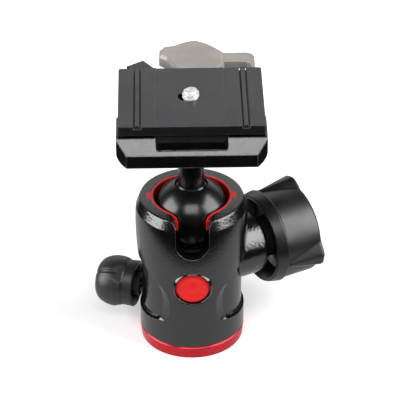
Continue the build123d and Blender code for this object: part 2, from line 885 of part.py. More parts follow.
def clamp_outline():
    """The clamp's plan: a square with cut front corners, narrower behind its side walls."""
    right = [
        (clamp_half_width - clamp_corner, -clamp_front),
        (clamp_half_width, -clamp_front + clamp_corner),
        (clamp_half_width, side_wall_end),
        (clamp_waist_half_width, side_wall_end + 2.6),
        (clamp_waist_half_width, clamp_back - clamp_corner),
        (clamp_waist_half_width - clamp_corner, clamp_back),
    ]
    left = [(-x, y) for x, y in reversed(right)]
    Polygon(*right, *left, align=None)


with BuildPart() as clamp_body:
    with BuildSketch(Plane.XY.offset(clamp_bottom)):
        clamp_outline()
    extrude(amount=clamp_floor)
    # The front wall, with its sloped top and the lip over the dovetail.
    with BuildSketch(Plane.YZ):
        Polygon(
            (-clamp_front, clamp_bottom),
            (-clamp_front, front_face_top),
            (-clamp_front + slope_depth, clamp_wall_top),
            (-dovetail_half_depth(clamp_wall_top) - jaw_gap, clamp_wall_top),
            (-dovetail_half_depth(clamp_floor_top) - jaw_gap, clamp_floor_top),
            (-dovetail_half_depth(clamp_floor_top) - jaw_gap, clamp_bottom),
            align=None,
        )
    extrude(amount=clamp_half_width, both=True)
    # Side walls and the blocks behind the plate.
    wall_y = (side_wall_end - clamp_front) / 2
    wall_length = clamp_front + side_wall_end
    wall_x = clamp_half_width - side_wall_thickness / 2
    with BuildSketch(Plane.XY.offset(clamp_floor_top)):
        with Locations((wall_x, wall_y), (-wall_x, wall_y)):
            Rectangle(side_wall_thickness, wall_length)
    extrude(amount=clamp_wall_top - clamp_floor_top)
    with BuildSketch(Plane.YZ):
        Polygon(
            (-clamp_front - 1, front_face_top - 1.25),
            (-clamp_front - 1, clamp_wall_top + 1),
            (-clamp_front + slope_depth + 0.8, clamp_wall_top + 1),
            align=None,
        )
    extrude(amount=clamp_half_width, both=True, mode=Mode.SUBTRACT)
    with BuildSketch(Plane.XY.offset(clamp_floor_top)):
        block_depth = clamp_back - back_block_start
        block_y = clamp_back - block_depth / 2
        left_width = clamp_waist_half_width + left_block_edge
        with Locations((-clamp_waist_half_width + left_width / 2, block_y)):
            Rectangle(left_width, block_depth)
    extrude(amount=back_block_top - clamp_floor_top)
    with BuildSketch(Plane.XY.offset(clamp_floor_top)):
        right_width = clamp_waist_half_width - right_block_edge
        with Locations((clamp_waist_half_width - right_width / 2, block_y)):
            Rectangle(right_width, block_depth)
    extrude(amount=back_block_top - right_block_drop - clamp_floor_top)
    # Cut corners and rounded lower edges.
    with BuildSketch(Plane.XY.offset(clamp_bottom)):
        clamp_outline()
    extrude(amount=clamp_wall_top - clamp_bottom, mode=Mode.INTERSECT)
    with BuildSketch(Plane.XZ) as clamp_front_view:
        with Locations((0, clamp_bottom)):
            Rectangle(2 * clamp_half_width, 2 * plate_flange + clamp_floor, align=(Align.CENTER, Align.MIN))
        fillet(clamp_front_view.vertices().sort_by(Axis.Y)[:2], radius=clamp_edge_rounding)
    extrude(amount=clamp_front + clamp_back, both=True, mode=Mode.INTERSECT)
    # The boss under the lever.
    with BuildSketch(Plane.XY.offset(clamp_bottom)):
        with Locations((lever_x, lever_y)):
            Circle(pivot_boss_radius)
    extrude(amount=clamp_floor)
    with BuildSketch(Plane.XY.offset(clamp_floor_top)):
        with Locations((lever_x, lever_y)):
            Circle(pivot_pad_radius)
    extrude(amount=pivot_pad_height)
    # The recess in the middle of the front wall.
    with BuildSketch(Plane.XZ.offset(clamp_front - recess_lip)) as recess_view:
        with Locations((0, clamp_floor_top + recess_lip / 2)):
            Rectangle(2 * recess_half_width, 2 * plate_flange, align=(Align.CENTER, Align.MIN))
        fillet(recess_view.vertices().sort_by(Axis.Y)[:2], radius=recess_corner)
    extrude(amount=-(clamp_front - recess_lip - dovetail_top_half_depth + 1), mode=Mode.SUBTRACT)
    # Holes for the stem's tenon, its screw, the lever's pin and the two small pins.
    with BuildSketch(Plane.XY.offset(clamp_bottom)):
        Circle(stem_tenon_radius)
    extrude(amount=stem_tenon_height, mode=Mode.SUBTRACT)
    with BuildSketch(Plane.XY.offset(clamp_bottom)):
        Circle(platform_screw_radius)
        with Locations((lever_x, lever_y)):
            Circle(pivot_pin_radius + slide_gap)
        with Locations((trip_pin_x, 0)):
            Circle(trip_pin_radius)
        with Locations((catch_x, catch_y)):
            Circle(catch_pin_radius)
    extrude(amount=clamp_wall_top - clamp_bottom, mode=Mode.SUBTRACT)
    with BuildSketch(Plane.XY.offset(clamp_floor_top)):
        Circle(platform_screw_head)
    with BuildSketch(Plane.XY.offset(clamp_floor_top - platform_screw_head + platform_screw_radius)):
        Circle(platform_screw_radius)
    loft(mode=Mode.SUBTRACT)
    with BuildSketch(Plane.XY.offset(clamp_bottom)):
        with Locations((lever_x, lever_y)):
            Circle(pivot_head_radius + cover_gap)
    extrude(amount=pivot_head_thickness + face_gap, mode=Mode.SUBTRACT)
finish(clamp_body, "clamp_body")

with BuildPart() as platform_screw:
    with BuildSketch(Plane.XZ):
        Polygon(
            (0, screw_bottom),
            (platform_screw_radius, screw_bottom),
            (platform_screw_radius, clamp_floor_top - platform_screw_head + platform_screw_radius),
            (platform_screw_head, clamp_floor_top),
            (0, clamp_floor_top),
            align=None,
        )
    revolve(axis=Axis.Z)
    with BuildSketch(Plane.XY.offset(clamp_floor_top)):
        RegularPolygon(platform_screw_radius * 0.7, 6)
    extrude(amount=-2, mode=Mode.SUBTRACT)
finish(platform_screw, "platform_screw")

with BuildPart() as trip_pin:
    with BuildSketch(Plane.XY.offset(clamp_bottom + 0.6)):
        with Locations((trip_pin_x, 0)):
            Circle(trip_pin_radius)
    extrude(amount=dovetail_bottom - clamp_bottom - 0.6)
finish(trip_pin, "trip_pin")

# ================================================================ clamp lever
# The pin comes from below, turns in the clamp and is pressed into the lever's hub.
with BuildPart() as lever_pin:
    with BuildSketch(Plane.XY.offset(clamp_bottom)):
        with Locations((lever_x, lever_y)):
            Circle(pivot_head_radius)
    extrude(amount=pivot_head_thickness)
    with BuildSketch(Plane.XY.offset(clamp_bottom)):
        with Locations((lever_x, lever_y)):
            Circle(pivot_pin_radius)
    extrude(amount=pivot_pin_top - clamp_bottom)
finish(lever_pin, "lever_pin")

lever_bottom = clamp_floor_top + pivot_pad_height + face_gap
spring_start = clamp_floor_top + pivot_pad_height + cover_gap + spring_wire / 2
spring_height = spring_turns * spring_pitch
spring_pocket_radius = spring_radius + spring_wire / 2 + cover_gap
spring_pocket_top = spring_start + spring_height + spring_wire / 2 + cover_gap
jaw_bottom = lever_bottom
jaw_top = clamp_wall_top


def lever_cap_outline():
    """The cap's plan: a rounded back, a lug on the left and straight front corners."""
    with BuildSketch() as cap:
        with BuildLine():
            Polyline(
                (-6.4, 40.7),
                (-9.8, 40.1),
                (-11.3, 37.8),
                (-11.5, 33.0),
                (-8.8, 30.6),
                (-5.0, lever_front),
                (lever_right - 2.6, lever_front),
                (lever_right - 0.4, lever_front + 3.6),
                (lever_right, lever_arm_back),
            )
            Spline(
                (lever_right, lever_arm_back),
                (9.9, 39.4),
                (1.6, 44.6),
                (-6.4, 40.7),
                tangents=((-0.8, 1), (-1, -0.6)),
            )
        make_face()
    return cap.sketch


def jaw_radius(height):
    """Radius of the jaw's round face, which leans over the dovetail."""
    return lever_y - dovetail_half_depth(height) - jaw_gap


with BuildPart() as lever_cap:
    with BuildSketch(Plane.XY.offset(lever_top - lever_cap_thickness)):
        add(lever_cap_outline())
    extrude(amount=lever_cap_thickness)
    chamfer(lever_cap.faces().sort_by(Axis.Z)[-1].edges(), length=lever_bevel)

# The arm: a bar behind the thumb's space, and a finger that hooks forward round it.
lever_thumb_side = lever_arm_reach - lever_finger_width
with BuildPart() as lever_arm:
    with BuildSketch(Plane.XY.offset(lever_arm_top - lever_arm_thickness)) as arm_view:
        Polygon(
            (lever_x, lever_front),
            (lever_arm_reach, lever_front),
            (lever_arm_reach, lever_arm_back),
            (lever_x, lever_arm_back),
            align=None,
        )
        fillet(arm_view.vertices().sort_by(Axis.X)[-2:].sort_by(Axis.Y)[-1:], radius=lever_arm_corner)
    extrude(amount=lever_arm_thickness)
    with BuildSketch(Plane.XY.offset(lever_arm_top)) as thumb_view:
        Polygon(
            (lever_right, lever_front - 1),
            (lever_thumb_side, lever_front - 1),
            (lever_thumb_side, lever_front + lever_thumb_depth),
            (lever_right, lever_front + lever_thumb_depth),
            align=None,
        )
        fillet(thumb_view.vertices().sort_by(Axis.X)[-2:].sort_by(Axis.Y)[-1:], radius=lever_thumb_corner)
    extrude(amount=-lever_arm_thickness, mode=Mode.SUBTRACT)
    fillet(lever_arm.faces().sort_by(Axis.Z)[-1].edges(), radius=lever_arm_edge)

with BuildPart() as clamp_lever:
    # The jaw: a sector of an eccentric cone.
    jaw_reach = jaw_radius(jaw_top) + 1
    jaw_side = jaw_reach * sin(radians(jaw_half_angle)) / cos(radians(jaw_half_angle))
    with BuildSketch(Plane.XY.offset(jaw_bottom)):
        Polygon(
            (lever_x - 3, lever_y),
            (lever_x - jaw_side + 2, lever_y - jaw_reach),
            (lever_x + jaw_side + 2, lever_y - jaw_reach),
            (lever_x + 6, lever_y),
            align=None,
        )
    extrude(amount=jaw_top - jaw_bottom)
    with BuildSketch(Plane.XZ.offset(-lever_y)):
        Polygon(
            (lever_x + jaw_offset, jaw_bottom),
            (lever_x + jaw_offset + jaw_radius(jaw_bottom), jaw_bottom),
            (lever_x + jaw_offset + jaw_radius(jaw_top), jaw_top),
            (lever_x + jaw_offset, jaw_top),
            align=None,
        )
    revolve(axis=Axis((lever_x + jaw_offset, lever_y, 0), (0, 0, 1)), mode=Mode.INTERSECT)
    # The round hub under the cap.
    with BuildSketch(Plane.XY.offset(lever_bottom)):
        with Locations((lever_x, lever_y)):
            Circle(lever_hub_radius)
    extrude(amount=lever_top - lever_cap_thickness - lever_bottom)
    add(lever_arm.part)
    add(lever_cap.part)
    # The bore for the pin and the pocket for the return spring.
    with BuildSketch(Plane.XY.offset(lever_bottom)):
        with Locations((lever_x, lever_y)):
            Circle(pivot_pin_radius)
    extrude(amount=pivot_pin_top - lever_bottom, mode=Mode.SUBTRACT)
    with BuildSketch(Plane.XY.offset(lever_bottom)):
        with Locations((lever_x, lever_y)):
            Circle(spring_pocket_radius)
    extrude(amount=spring_pocket_top - lever_bottom, mode=Mode.SUBTRACT)
finish(clamp_lever, "clamp_lever")

with BuildPart() as lever_spring:
    with BuildLine() as coil:
        Helix(
            pitch=spring_pitch,
            height=spring_height,
            radius=spring_radius,
            center=(lever_x, lever_y, spring_start),
        )
    with BuildSketch(Plane(coil.line @ 0, z_dir=coil.line % 0)):
        Circle(spring_wire / 2)
    sweep()
finish(lever_spring, "lever_spring")

catch_top = back_block_top + face_gap + catch_thickness
with BuildPart() as safety_catch:
    with BuildSketch(Plane.XY.offset(back_block_top + face_gap)) as catch_view:
        with Locations(Pos(catch_x, catch_y) * Rot(0, 0, catch_angle)):
            Rectangle(catch_length, catch_width)
            Circle(catch_pin_radius + slide_gap, mode=Mode.SUBTRACT)
    extrude(amount=catch_thickness)
    with BuildSketch(Plane.XY.offset(catch_top)):
        with Locations((catch_x, catch_y)):
            Circle(catch_pin_head + slide_gap)
    extrude(amount=-catch_pin_head_thickness - face_gap, mode=Mode.SUBTRACT)
finish(safety_catch, "safety_catch")

with BuildPart() as catch_pin:
    with BuildSketch(Plane.XY.offset(clamp_bottom + 2)):
        with Locations((catch_x, catch_y)):
            Circle(catch_pin_radius)
    extrude(amount=catch_top - clamp_bottom - 2)
    with BuildSketch(Plane.XY.offset(catch_top)):
        with Locations((catch_x, catch_y)):
            Circle(catch_pin_head)
    extrude(amount=-catch_pin_head_thickness)
finish(catch_pin, "catch_pin")

# ================================================================ camera plate
screw_head_bottom = screw_pocket_top - screw_washer_thickness - camera_screw_head_thickness - face_gap
pocket_radius = camera_screw_head + screw_pocket_gap
with BuildPart() as camera_plate:
    with BuildSketch(Plane.XY.offset(plate_bottom)):
        RectangleRounded(2 * plate_half_width, 2 * plate_half_depth, plate_corner)
    extrude(amount=plate_flange)
    with BuildSketch(Plane.YZ):
        Polygon(
            (-dovetail_bottom_half_depth, dovetail_bottom),
            (dovetail_bottom_half_depth, dovetail_bottom),
            (dovetail_top_half_depth, plate_bottom),
            (-dovetail_top_half_depth, plate_bottom),
            align=None,
        )
    extrude(amount=dovetail_half_width, both=True)
    with BuildSketch(Plane.XY.offset(plate_top)):
        with Locations((strip_x, 0), (-strip_x, 0)):
            Rectangle(strip_groove_width, 2 * plate_half_depth)
    extrude(amount=-strip_groove_depth, mode=Mode.SUBTRACT)
    with BuildSketch(Plane.XY.offset(plate_top)):
        with Locations((line_x, 0), (-line_x, 0)):
            Rectangle(line_width, 2 * plate_half_depth)
    extrude(amount=-line_depth, mode=Mode.SUBTRACT)
    with BuildSketch(Plane.XY.offset(dovetail_bottom)):
        with Locations((-screw_slot_travel / 2, 0)):
            SlotCenterToCenter(screw_slot_travel, 2 * pocket_radius)
    extrude(amount=screw_pocket_top - dovetail_bottom, mode=Mode.SUBTRACT)
    with BuildSketch(Plane.XY.offset(dovetail_bottom)):
        with Locations((-screw_slot_travel / 2, 0)):
            SlotCenterToCenter(screw_slot_travel, 2 * (camera_screw_radius + screw_hole_gap))
    extrude(amount=plate_top - dovetail_bottom, mode=Mode.SUBTRACT)
finish(camera_plate, "camera_plate")


def grip_strip(name, x):
    """A rubber bead with a round top, in its groove along the plate."""
    floor = plate_top - strip_groove_depth
    with BuildPart() as strip:
        with BuildSketch(Plane.XZ):
            with BuildLine():
                shoulder = plate_top + strip_proud - strip_width / 2
                Polyline(
                    (x - strip_width / 2, shoulder),
                    (x - strip_width / 2, floor),
                    (x + strip_width / 2, floor),
                    (x + strip_width / 2, shoulder),
                )
                ThreePointArc(
                    (x + strip_width / 2, shoulder),
                    (x, plate_top + strip_proud),
                    (x - strip_width / 2, shoulder),
                )
            make_face()
        extrude(amount=plate_half_depth, both=True)
    finish(strip, name)


grip_strip("grip_strip_left", -strip_x)
grip_strip("grip_strip_right", strip_x)

ring(
    "screw_washer",
    screw_pocket_top - screw_washer_thickness,
    screw_pocket_top,
    camera_screw_shank + slide_gap,
    screw_washer_radius,
)

screw_head_top = screw_head_bottom + camera_screw_head_thickness
with BuildPart() as camera_screw:
    with BuildSketch(Plane.XZ):
        Polygon(
            (0, screw_head_bottom),
            (camera_screw_head - 0.4, screw_head_bottom),
            (camera_screw_head, screw_head_bottom + 0.4),
            (camera_screw_head, screw_head_top),
            (camera_screw_shank, screw_head_top),
            (camera_screw_shank, plate_top + 2 * face_gap),
            (camera_screw_radius, plate_top + 2 * face_gap),
            (camera_screw_radius, plate_top + camera_screw_proud - camera_screw_chamfer),
            (camera_screw_radius - camera_screw_chamfer, plate_top + camera_screw_proud),
            (0, plate_top + camera_screw_proud),
            align=None,
        )
    revolve(axis=Axis.Z)
    with BuildSketch(Plane.XY.offset(screw_head_bottom)):
        Rectangle(2 * camera_screw_head, coin_slot_width)
    extrude(amount=coin_slot_depth, mode=Mode.SUBTRACT)
finish(camera_screw, "camera_screw")
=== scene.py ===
"""Looks of a compact ball head with a quick-release clamp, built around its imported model.

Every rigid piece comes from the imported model. This script gives each one its finish, and builds the two
moulded grips, the ring round the badge and the threaded camera screw as meshes of their own. Their sizes
are in millimetres and degrees, and the studio's are in metres and degrees.
"""

import logging
from dataclasses import dataclass
from enum import Enum
from functools import partial
from math import cos, pi, radians, sin, sqrt, tau
from typing import Any, Callable, Sequence

import bmesh
import bpy
from mathutils import Matrix, Vector


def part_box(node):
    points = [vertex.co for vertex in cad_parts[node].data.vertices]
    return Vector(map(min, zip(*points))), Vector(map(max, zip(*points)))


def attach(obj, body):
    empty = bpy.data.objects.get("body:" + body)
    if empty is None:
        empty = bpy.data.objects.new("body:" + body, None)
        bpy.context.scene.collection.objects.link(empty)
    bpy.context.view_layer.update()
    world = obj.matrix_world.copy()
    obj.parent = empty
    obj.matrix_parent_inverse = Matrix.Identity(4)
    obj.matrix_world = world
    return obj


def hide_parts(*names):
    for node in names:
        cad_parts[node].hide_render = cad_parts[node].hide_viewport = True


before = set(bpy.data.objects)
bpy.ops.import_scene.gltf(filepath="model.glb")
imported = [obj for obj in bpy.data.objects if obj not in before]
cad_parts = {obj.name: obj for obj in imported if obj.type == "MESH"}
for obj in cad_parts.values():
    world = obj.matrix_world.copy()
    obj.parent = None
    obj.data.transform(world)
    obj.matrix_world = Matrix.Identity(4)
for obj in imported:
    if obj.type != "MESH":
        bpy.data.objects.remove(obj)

log = logging.getLogger("ball_head")

MM = 0.001
PINHOLE = 0.02  # radius of a ring that closes a skin on its axis
Colour = tuple[float, float, float]

# The display's curve: a straight toe, and a power above it.
DISPLAY_WHITE = 255
TOE_END = 0.04045
TOE_SLOPE = 12.92
CURVE_OFFSET = 0.055
CURVE_POWER = 2.4


# ---- colours and numbers
def srgb(red: int, green: int, blue: int) -> Colour:
    """Turns a colour written in 0 to 255 display values into the linear values that shaders take.

    Args:
        red: Red, 0 to 255.
        green: Green, 0 to 255.
        blue: Blue, 0 to 255.

    Returns:
        The linear colour.
    """
    linear = []
    for part in (red, green, blue):
        value = part / DISPLAY_WHITE
        if value <= TOE_END:
            linear.append(value / TOE_SLOPE)
        else:
            linear.append(((value + CURVE_OFFSET) / (1 + CURVE_OFFSET)) ** CURVE_POWER)
    return (linear[0], linear[1], linear[2])


def grey(level: int) -> Colour:
    """A neutral colour of one display value."""
    return srgb(level, level, level)


WHITE = grey(DISPLAY_WHITE)


def lerp(low: float, high: float, share: float) -> float:
    """The number a share of the way from low to high."""
    return low + (high - low) * share


def clamp01(value: float) -> float:
    """A number held between 0 and 1."""
    return min(1.0, max(0.0, value))


def soft_min(first: float, second: float, blend: float) -> float:
    """The smaller of two lengths, with the corner between them rounded.

    Args:
        first: One length.
        second: The other length.
        blend: How wide the rounding is, in the same unit.

    Returns:
        The rounded minimum.
    """
    share = clamp01(0.5 + 0.5 * (second - first) / blend)
    return lerp(second, first, share) - blend * share * (1 - share)


def soft_max(first: float, second: float, blend: float) -> float:
    """The larger of two lengths, with the corner between them rounded."""
    return -soft_min(-first, -second, blend)


# ---- shader trees
BEVEL_SAMPLES = 4


class Graph:
    """Adds and joins the nodes of one shader tree."""

    def __init__(self, tree: bpy.types.NodeTree) -> None:
        """Keeps the tree that the nodes go into."""
        self.tree = tree

    def node(self, kind: str, inputs: dict[Any, Any] | None = None, **settings: Any) -> bpy.types.Node:
        """Adds one node.

        Args:
            kind: The node's type.
            inputs: Sockets by name or number, each a constant or another node's output.
            **settings: Properties of the node.

        Returns:
            The new node.
        """
        made = self.tree.nodes.new(kind)
        for name, value in settings.items():
            setattr(made, name, value)
        for key, value in (inputs or {}).items():
            self.feed(made.inputs[key], value)
        return made

    def feed(self, socket: bpy.types.NodeSocket, value: Any) -> None:
        """Links an output to a socket, or sets the socket's constant.

        Args:
            socket: The input socket.
            value: Another node's output, or a constant. A colour may leave out its alpha.
        """
        if isinstance(value, bpy.types.NodeSocket):
            self.tree.links.new(value, socket)
        elif socket.type == "RGBA" and len(value) == 3:
            socket.default_value = (*value, 1.0)
        else:
            socket.default_value = value

    def math(self, operation: str, *values: Any, clamp: bool = False) -> bpy.types.NodeSocket:
        """The output of a Math node."""
        inputs = dict(enumerate(values))
        return self.node("ShaderNodeMath", inputs, operation=operation, use_clamp=clamp).outputs[0]

    def mix(self, share: Any, low: Any, high: Any) -> bpy.types.NodeSocket:
        """The colour a share of the way from low to high."""
        made = self.node("ShaderNodeMix", {0: share, 6: low, 7: high}, data_type="RGBA")
        return made.outputs[2]

    def span(self, value: Any, low: float, high: float, out_low: Any, out_high: Any) -> bpy.types.NodeSocket:
        """A value moved smoothly from one range to another, and held there."""
        inputs = {"Value": value, "From Min": low, "From Max": high, "To Min": out_low, "To Max": out_high}
        return self.node("ShaderNodeMapRange", inputs, interpolation_type="SMOOTHSTEP").outputs[0]

    def noise(self, where: Any, scale: Any, detail: float = 2.0, rough: float = 0.5) -> bpy.types.NodeSocket:
        """The value of a noise texture over the surface."""
        inputs = {"Vector": where, "Scale": scale, "Detail": detail, "Roughness": rough}
        return self.node("ShaderNodeTexNoise", inputs).outputs[0]

    def place(self) -> bpy.types.NodeSocket:
        """The surface point in the piece's own coordinates, in metres."""
        return self.node("ShaderNodeTexCoord").outputs["Object"]


class Effect(Enum):
    """The shader groups that a finish can ask for."""

    EDGE_WEAR_AND_HIGHLIGHT = "edge_wear_and_highlight"
    GRAIN = "grain"
    HANDLING = "handling"
    TURNED = "turned"


class Effects:
    """The shader groups that the finishes share. Each is built once, when a finish first asks for it."""

    def __init__(self) -> None:
        """Starts with no group built."""
        self._built: dict[Effect, bpy.types.NodeTree] = {}
        self._builders: dict[Effect, Callable[[], bpy.types.NodeTree]] = {
            Effect.EDGE_WEAR_AND_HIGHLIGHT: self._edge_wear_and_highlight,
            Effect.GRAIN: self._grain,
            Effect.HANDLING: self._handling,
            Effect.TURNED: self._turned,
        }

    def place(self, graph: Graph, effect: Effect, **inputs: Any) -> dict[str, bpy.types.NodeSocket]:
        """Puts a group into a material.

        Args:
            graph: The material's tree.
            effect: Which group.
            **inputs: The group's inputs by name.

        Returns:
            The group's outputs by name.
        """
        if effect not in self._built:
            self._built[effect] = self._builders[effect]()
        made = graph.node("ShaderNodeGroup", node_tree=self._built[effect])
        for key, value in inputs.items():
            graph.feed(made.inputs[key], value)
        return {socket.name: socket for socket in made.outputs}

    @staticmethod
    def _start(
        effect: Effect, inputs: dict[str, float | None], outputs: Sequence[str]
    ) -> tuple[Graph, Any, Any]:
        """Makes an empty group with its sockets.

        Args:
            effect: Which group.
            inputs: Names and first values of its number inputs. A value of None makes a vector input.
            outputs: Names of its number outputs.

        Returns:
            The group's graph, its input node's outputs and its output node's inputs.
        """
        tree = bpy.data.node_groups.new(effect.value, "ShaderNodeTree")
        for key, value in inputs.items():
            kind = "NodeSocketVector" if value is None else "NodeSocketFloat"
            socket = tree.interface.new_socket(name=key, in_out="INPUT", socket_type=kind)
            if value is not None:
                socket.default_value = value
        for key in outputs:
            tree.interface.new_socket(name=key, in_out="OUTPUT", socket_type="NodeSocketFloat")
        graph = Graph(tree)
        return graph, graph.node("NodeGroupInput").outputs, graph.node("NodeGroupOutput").inputs

    def _edge_wear_and_highlight(self) -> bpy.types.NodeTree:
        """Where a coating is rubbed along the edges in patches, and where a painted highlight lightens those
        same edges.

        Returns:
            The group.
        """
        sizes = {"Radius": 0.0003, "Patches": 900.0, "Amount": 0.5}
        edge_cosine = 0.86
        patch_range = (0.38, 0.62)
        least_worn_and_lit = 0.25
        graph, given, result = self._start(Effect.EDGE_WEAR_AND_HIGHLIGHT, sizes, ("Mask",))
        rounded = graph.node("ShaderNodeBevel", {"Radius": given["Radius"]}, samples=BEVEL_SAMPLES)
        flat = graph.node("ShaderNodeNewGeometry")
        normals = {0: rounded.outputs[0], 1: flat.outputs["Normal"]}
        turned = graph.node("ShaderNodeVectorMath", normals, operation="DOT_PRODUCT")
        # The edges turn this mask on, for rubbed wear and also for a painted highlight along every edge.
        edge = graph.span(turned.outputs["Value"], 1.0, edge_cosine, 0.0, 1.0)
        uneven = graph.noise(graph.place(), given["Patches"], detail=3.0)
        patches = graph.span(uneven, *patch_range, least_worn_and_lit, 1.0)
        worn_and_lit = graph.math("MULTIPLY", edge, patches)
        graph.feed(result["Mask"], graph.math("MULTIPLY", worn_and_lit, given["Amount"], clamp=True))
        return graph.tree

    def _grain(self) -> bpy.types.NodeTree:
        """Small rounded bumps of two sizes, as sprayed paint and moulded rubber have.

        Returns:
            The group.
        """
        broad_share = 0.45
        mask_range = (0.35, 0.65)
        sizes = {"Scale": 2500.0, "Coarse": 0.4}
        graph, given, result = self._start(Effect.GRAIN, sizes, ("Height", "Mask"))
        where = graph.place()
        spots = {"Vector": where, "Scale": given["Scale"]}
        cells = graph.node("ShaderNodeTexVoronoi", spots, feature="SMOOTH_F1")
        fine = graph.math("SUBTRACT", 1.0, cells.outputs["Distance"])
        broad_scale = graph.math("MULTIPLY", given["Scale"], broad_share)
        broad = graph.noise(where, broad_scale, detail=3.0, rough=0.6)
        coarse = graph.math("MULTIPLY", broad, given["Coarse"])
        graph.feed(result["Height"], graph.math("ADD", fine, coarse))
        graph.feed(result["Mask"], graph.span(broad, *mask_range, 0.0, 1.0))
        return graph.tree

    def _handling(self) -> bpy.types.NodeTree:
        """Broad uneven patches from handling, and fine settled dust on what faces up.

        Returns:
            The group.
        """
        smudge_range = (0.32, 0.68)
        speck_scale = 3800.0
        speck_range = (0.66, 0.74)
        level_range = (0.2, 0.9)
        least_settled = 0.15
        sizes = {"Scale": 90.0, "Dust": 0.2}
        graph, given, result = self._start(Effect.HANDLING, sizes, ("Smudge", "Dust"))
        where = graph.place()
        uneven = graph.noise(where, given["Scale"], detail=4.0, rough=0.55)
        graph.feed(result["Smudge"], graph.span(uneven, *smudge_range, 0.0, 1.0))
        specks = graph.span(graph.noise(where, speck_scale, detail=1.0), *speck_range, 0.0, 1.0)
        normal = graph.node("ShaderNodeNewGeometry").outputs["Normal"]
        up = graph.node("ShaderNodeSeparateXYZ", {0: normal}).outputs["Z"]
        settled = graph.math("MULTIPLY", specks, graph.span(up, *level_range, least_settled, 1.0))
        graph.feed(result["Dust"], graph.math("MULTIPLY", settled, given["Dust"], clamp=True))
        return graph.tree

    def _turned(self) -> bpy.types.NodeTree:
        """Fine rings left by a lathe, about the Z axis of the given vector.

        Returns:
            The group.
        """
        sizes = {"Vector": None, "Rings": 5000.0}
        graph, given, result = self._start(Effect.TURNED, sizes, ("Height",))
        parts = graph.node("ShaderNodeSeparateXYZ", {0: given["Vector"]}).outputs
        squares = [graph.math("POWER", part, 2.0) for part in (parts[0], parts[1])]
        across = graph.math("SQRT", graph.math("ADD", *squares))
        drift = graph.math("ADD", across, parts[2])
        along = graph.math("MULTIPLY", drift, given["Rings"])
        lines = {"W": along, "Scale": 1.0, "Detail": 2.0}
        ring = graph.node("ShaderNodeTexNoise", lines, noise_dimensions="1D").outputs[0]
        graph.feed(result["Height"], ring)
        return graph.tree


effects = Effects()


# ---- finishes
DUST_GREY = srgb(150, 147, 142)
GRAIN_SHADE = 0.35
LEAST_ROUGHNESS = 0.02

built_finishes: dict[str, bpy.types.Material] = {}


@dataclass(frozen=True)
class Finish:
    """A surface: its colour, gloss, grain, and its edge wear together with a painted highlight along the
    edges.

    Args:
        name: The material's name.
        colour: Linear colour of the clean surface.
        shade: Linear colour that the broad uneven patches go towards.
        roughness: Roughness of the clean surface.
        unevenness: How much the roughness varies over the surface.
        metallic: How metallic it is, from 0 to 1.
        specular: Specular level.
        grain_scale: Bumps per metre of the surface grain.
        grain_height: Height of that grain, in metres.
        coarse: Share of broader bumps in the grain.
        worn_and_lit: Linear colour that shows at rubbed edges, and that also paints a highlight along them.
        wear_and_highlight: How strongly the edges are rubbed and lit by that painted highlight.
        wear_and_highlight_radius: How far from an edge the rubbing and the painted highlight reach, in
            metres.
        edge_radius: Radius by which sharp edges catch the light, in metres.
        dust: How much fine dust lies on the upper faces.
        rings: Lathe rings per metre round the upright axis, or 0.
        ring_height: Height of the lathe rings, in metres.
    """

    name: str
    colour: Colour
    shade: Colour
    roughness: float
    unevenness: float = 0.06
    metallic: float = 0.0
    specular: float = 0.5
    grain_scale: float = 3000.0
    grain_height: float = 0.00001
    coarse: float = 0.4
    worn_and_lit: Colour = grey(120)
    wear_and_highlight: float = 0.3
    wear_and_highlight_radius: float = 0.0003
    edge_radius: float = 0.0002
    dust: float = 0.1
    rings: float = 0.0
    ring_height: float = 0.000004

    def material(self) -> bpy.types.Material:
        """Builds the material, or gives it again if it has been built.

        Returns:
            The material.
        """
        if self.name in built_finishes:
            return built_finishes[self.name]
        made = bpy.data.materials.new(f"{self.name}_finish")
        built_finishes[self.name] = made
        made.use_nodes = True
        made.node_tree.nodes.clear()
        graph = Graph(made.node_tree)
        grain = effects.place(graph, Effect.GRAIN, Scale=self.grain_scale, Coarse=self.coarse)
        handled = effects.place(graph, Effect.HANDLING, Dust=self.dust)
        wear_and_highlight = effects.place(graph, Effect.EDGE_WEAR_AND_HIGHLIGHT, Radius=self.wear_and_highlight_radius, Amount=self.wear_and_highlight)
        clean = graph.mix(handled["Smudge"], self.colour, self.shade)
        spotted = graph.mix(graph.math("MULTIPLY", grain["Mask"], GRAIN_SHADE), clean, self.shade)
        dusty = graph.mix(handled["Dust"], spotted, DUST_GREY)
        # The edges go towards the worn colour: rubbed wear, and also a painted highlight along them.
        colour = graph.mix(wear_and_highlight["Mask"], dusty, self.worn_and_lit)
        low = max(LEAST_ROUGHNESS, self.roughness - self.unevenness)
        roughness = graph.span(handled["Smudge"], 0.0, 1.0, low, self.roughness + self.unevenness)
        height = graph.math("MULTIPLY", grain["Height"], self.grain_height)
        if self.rings:
            lathe = effects.place(graph, Effect.TURNED, Vector=graph.place(), Rings=self.rings)
            height = graph.math("ADD", height, graph.math("MULTIPLY", lathe["Height"], self.ring_height))
        rounded = graph.node("ShaderNodeBevel", {"Radius": self.edge_radius}, samples=BEVEL_SAMPLES)
        relief = {"Height": height, "Distance": 1.0, "Normal": rounded.outputs[0]}
        bump = graph.node("ShaderNodeBump", relief)
        surface = graph.node(
            "ShaderNodeBsdfPrincipled",
            {
                "Base Color": colour,
                "Roughness": roughness,
                "Metallic": self.metallic,
                "Specular IOR Level": self.specular,
                "Normal": bump.outputs[0],
            },
        )
        output = graph.node("ShaderNodeOutputMaterial", {"Surface": surface.outputs[0]})
        output.is_active_output = True
        return made
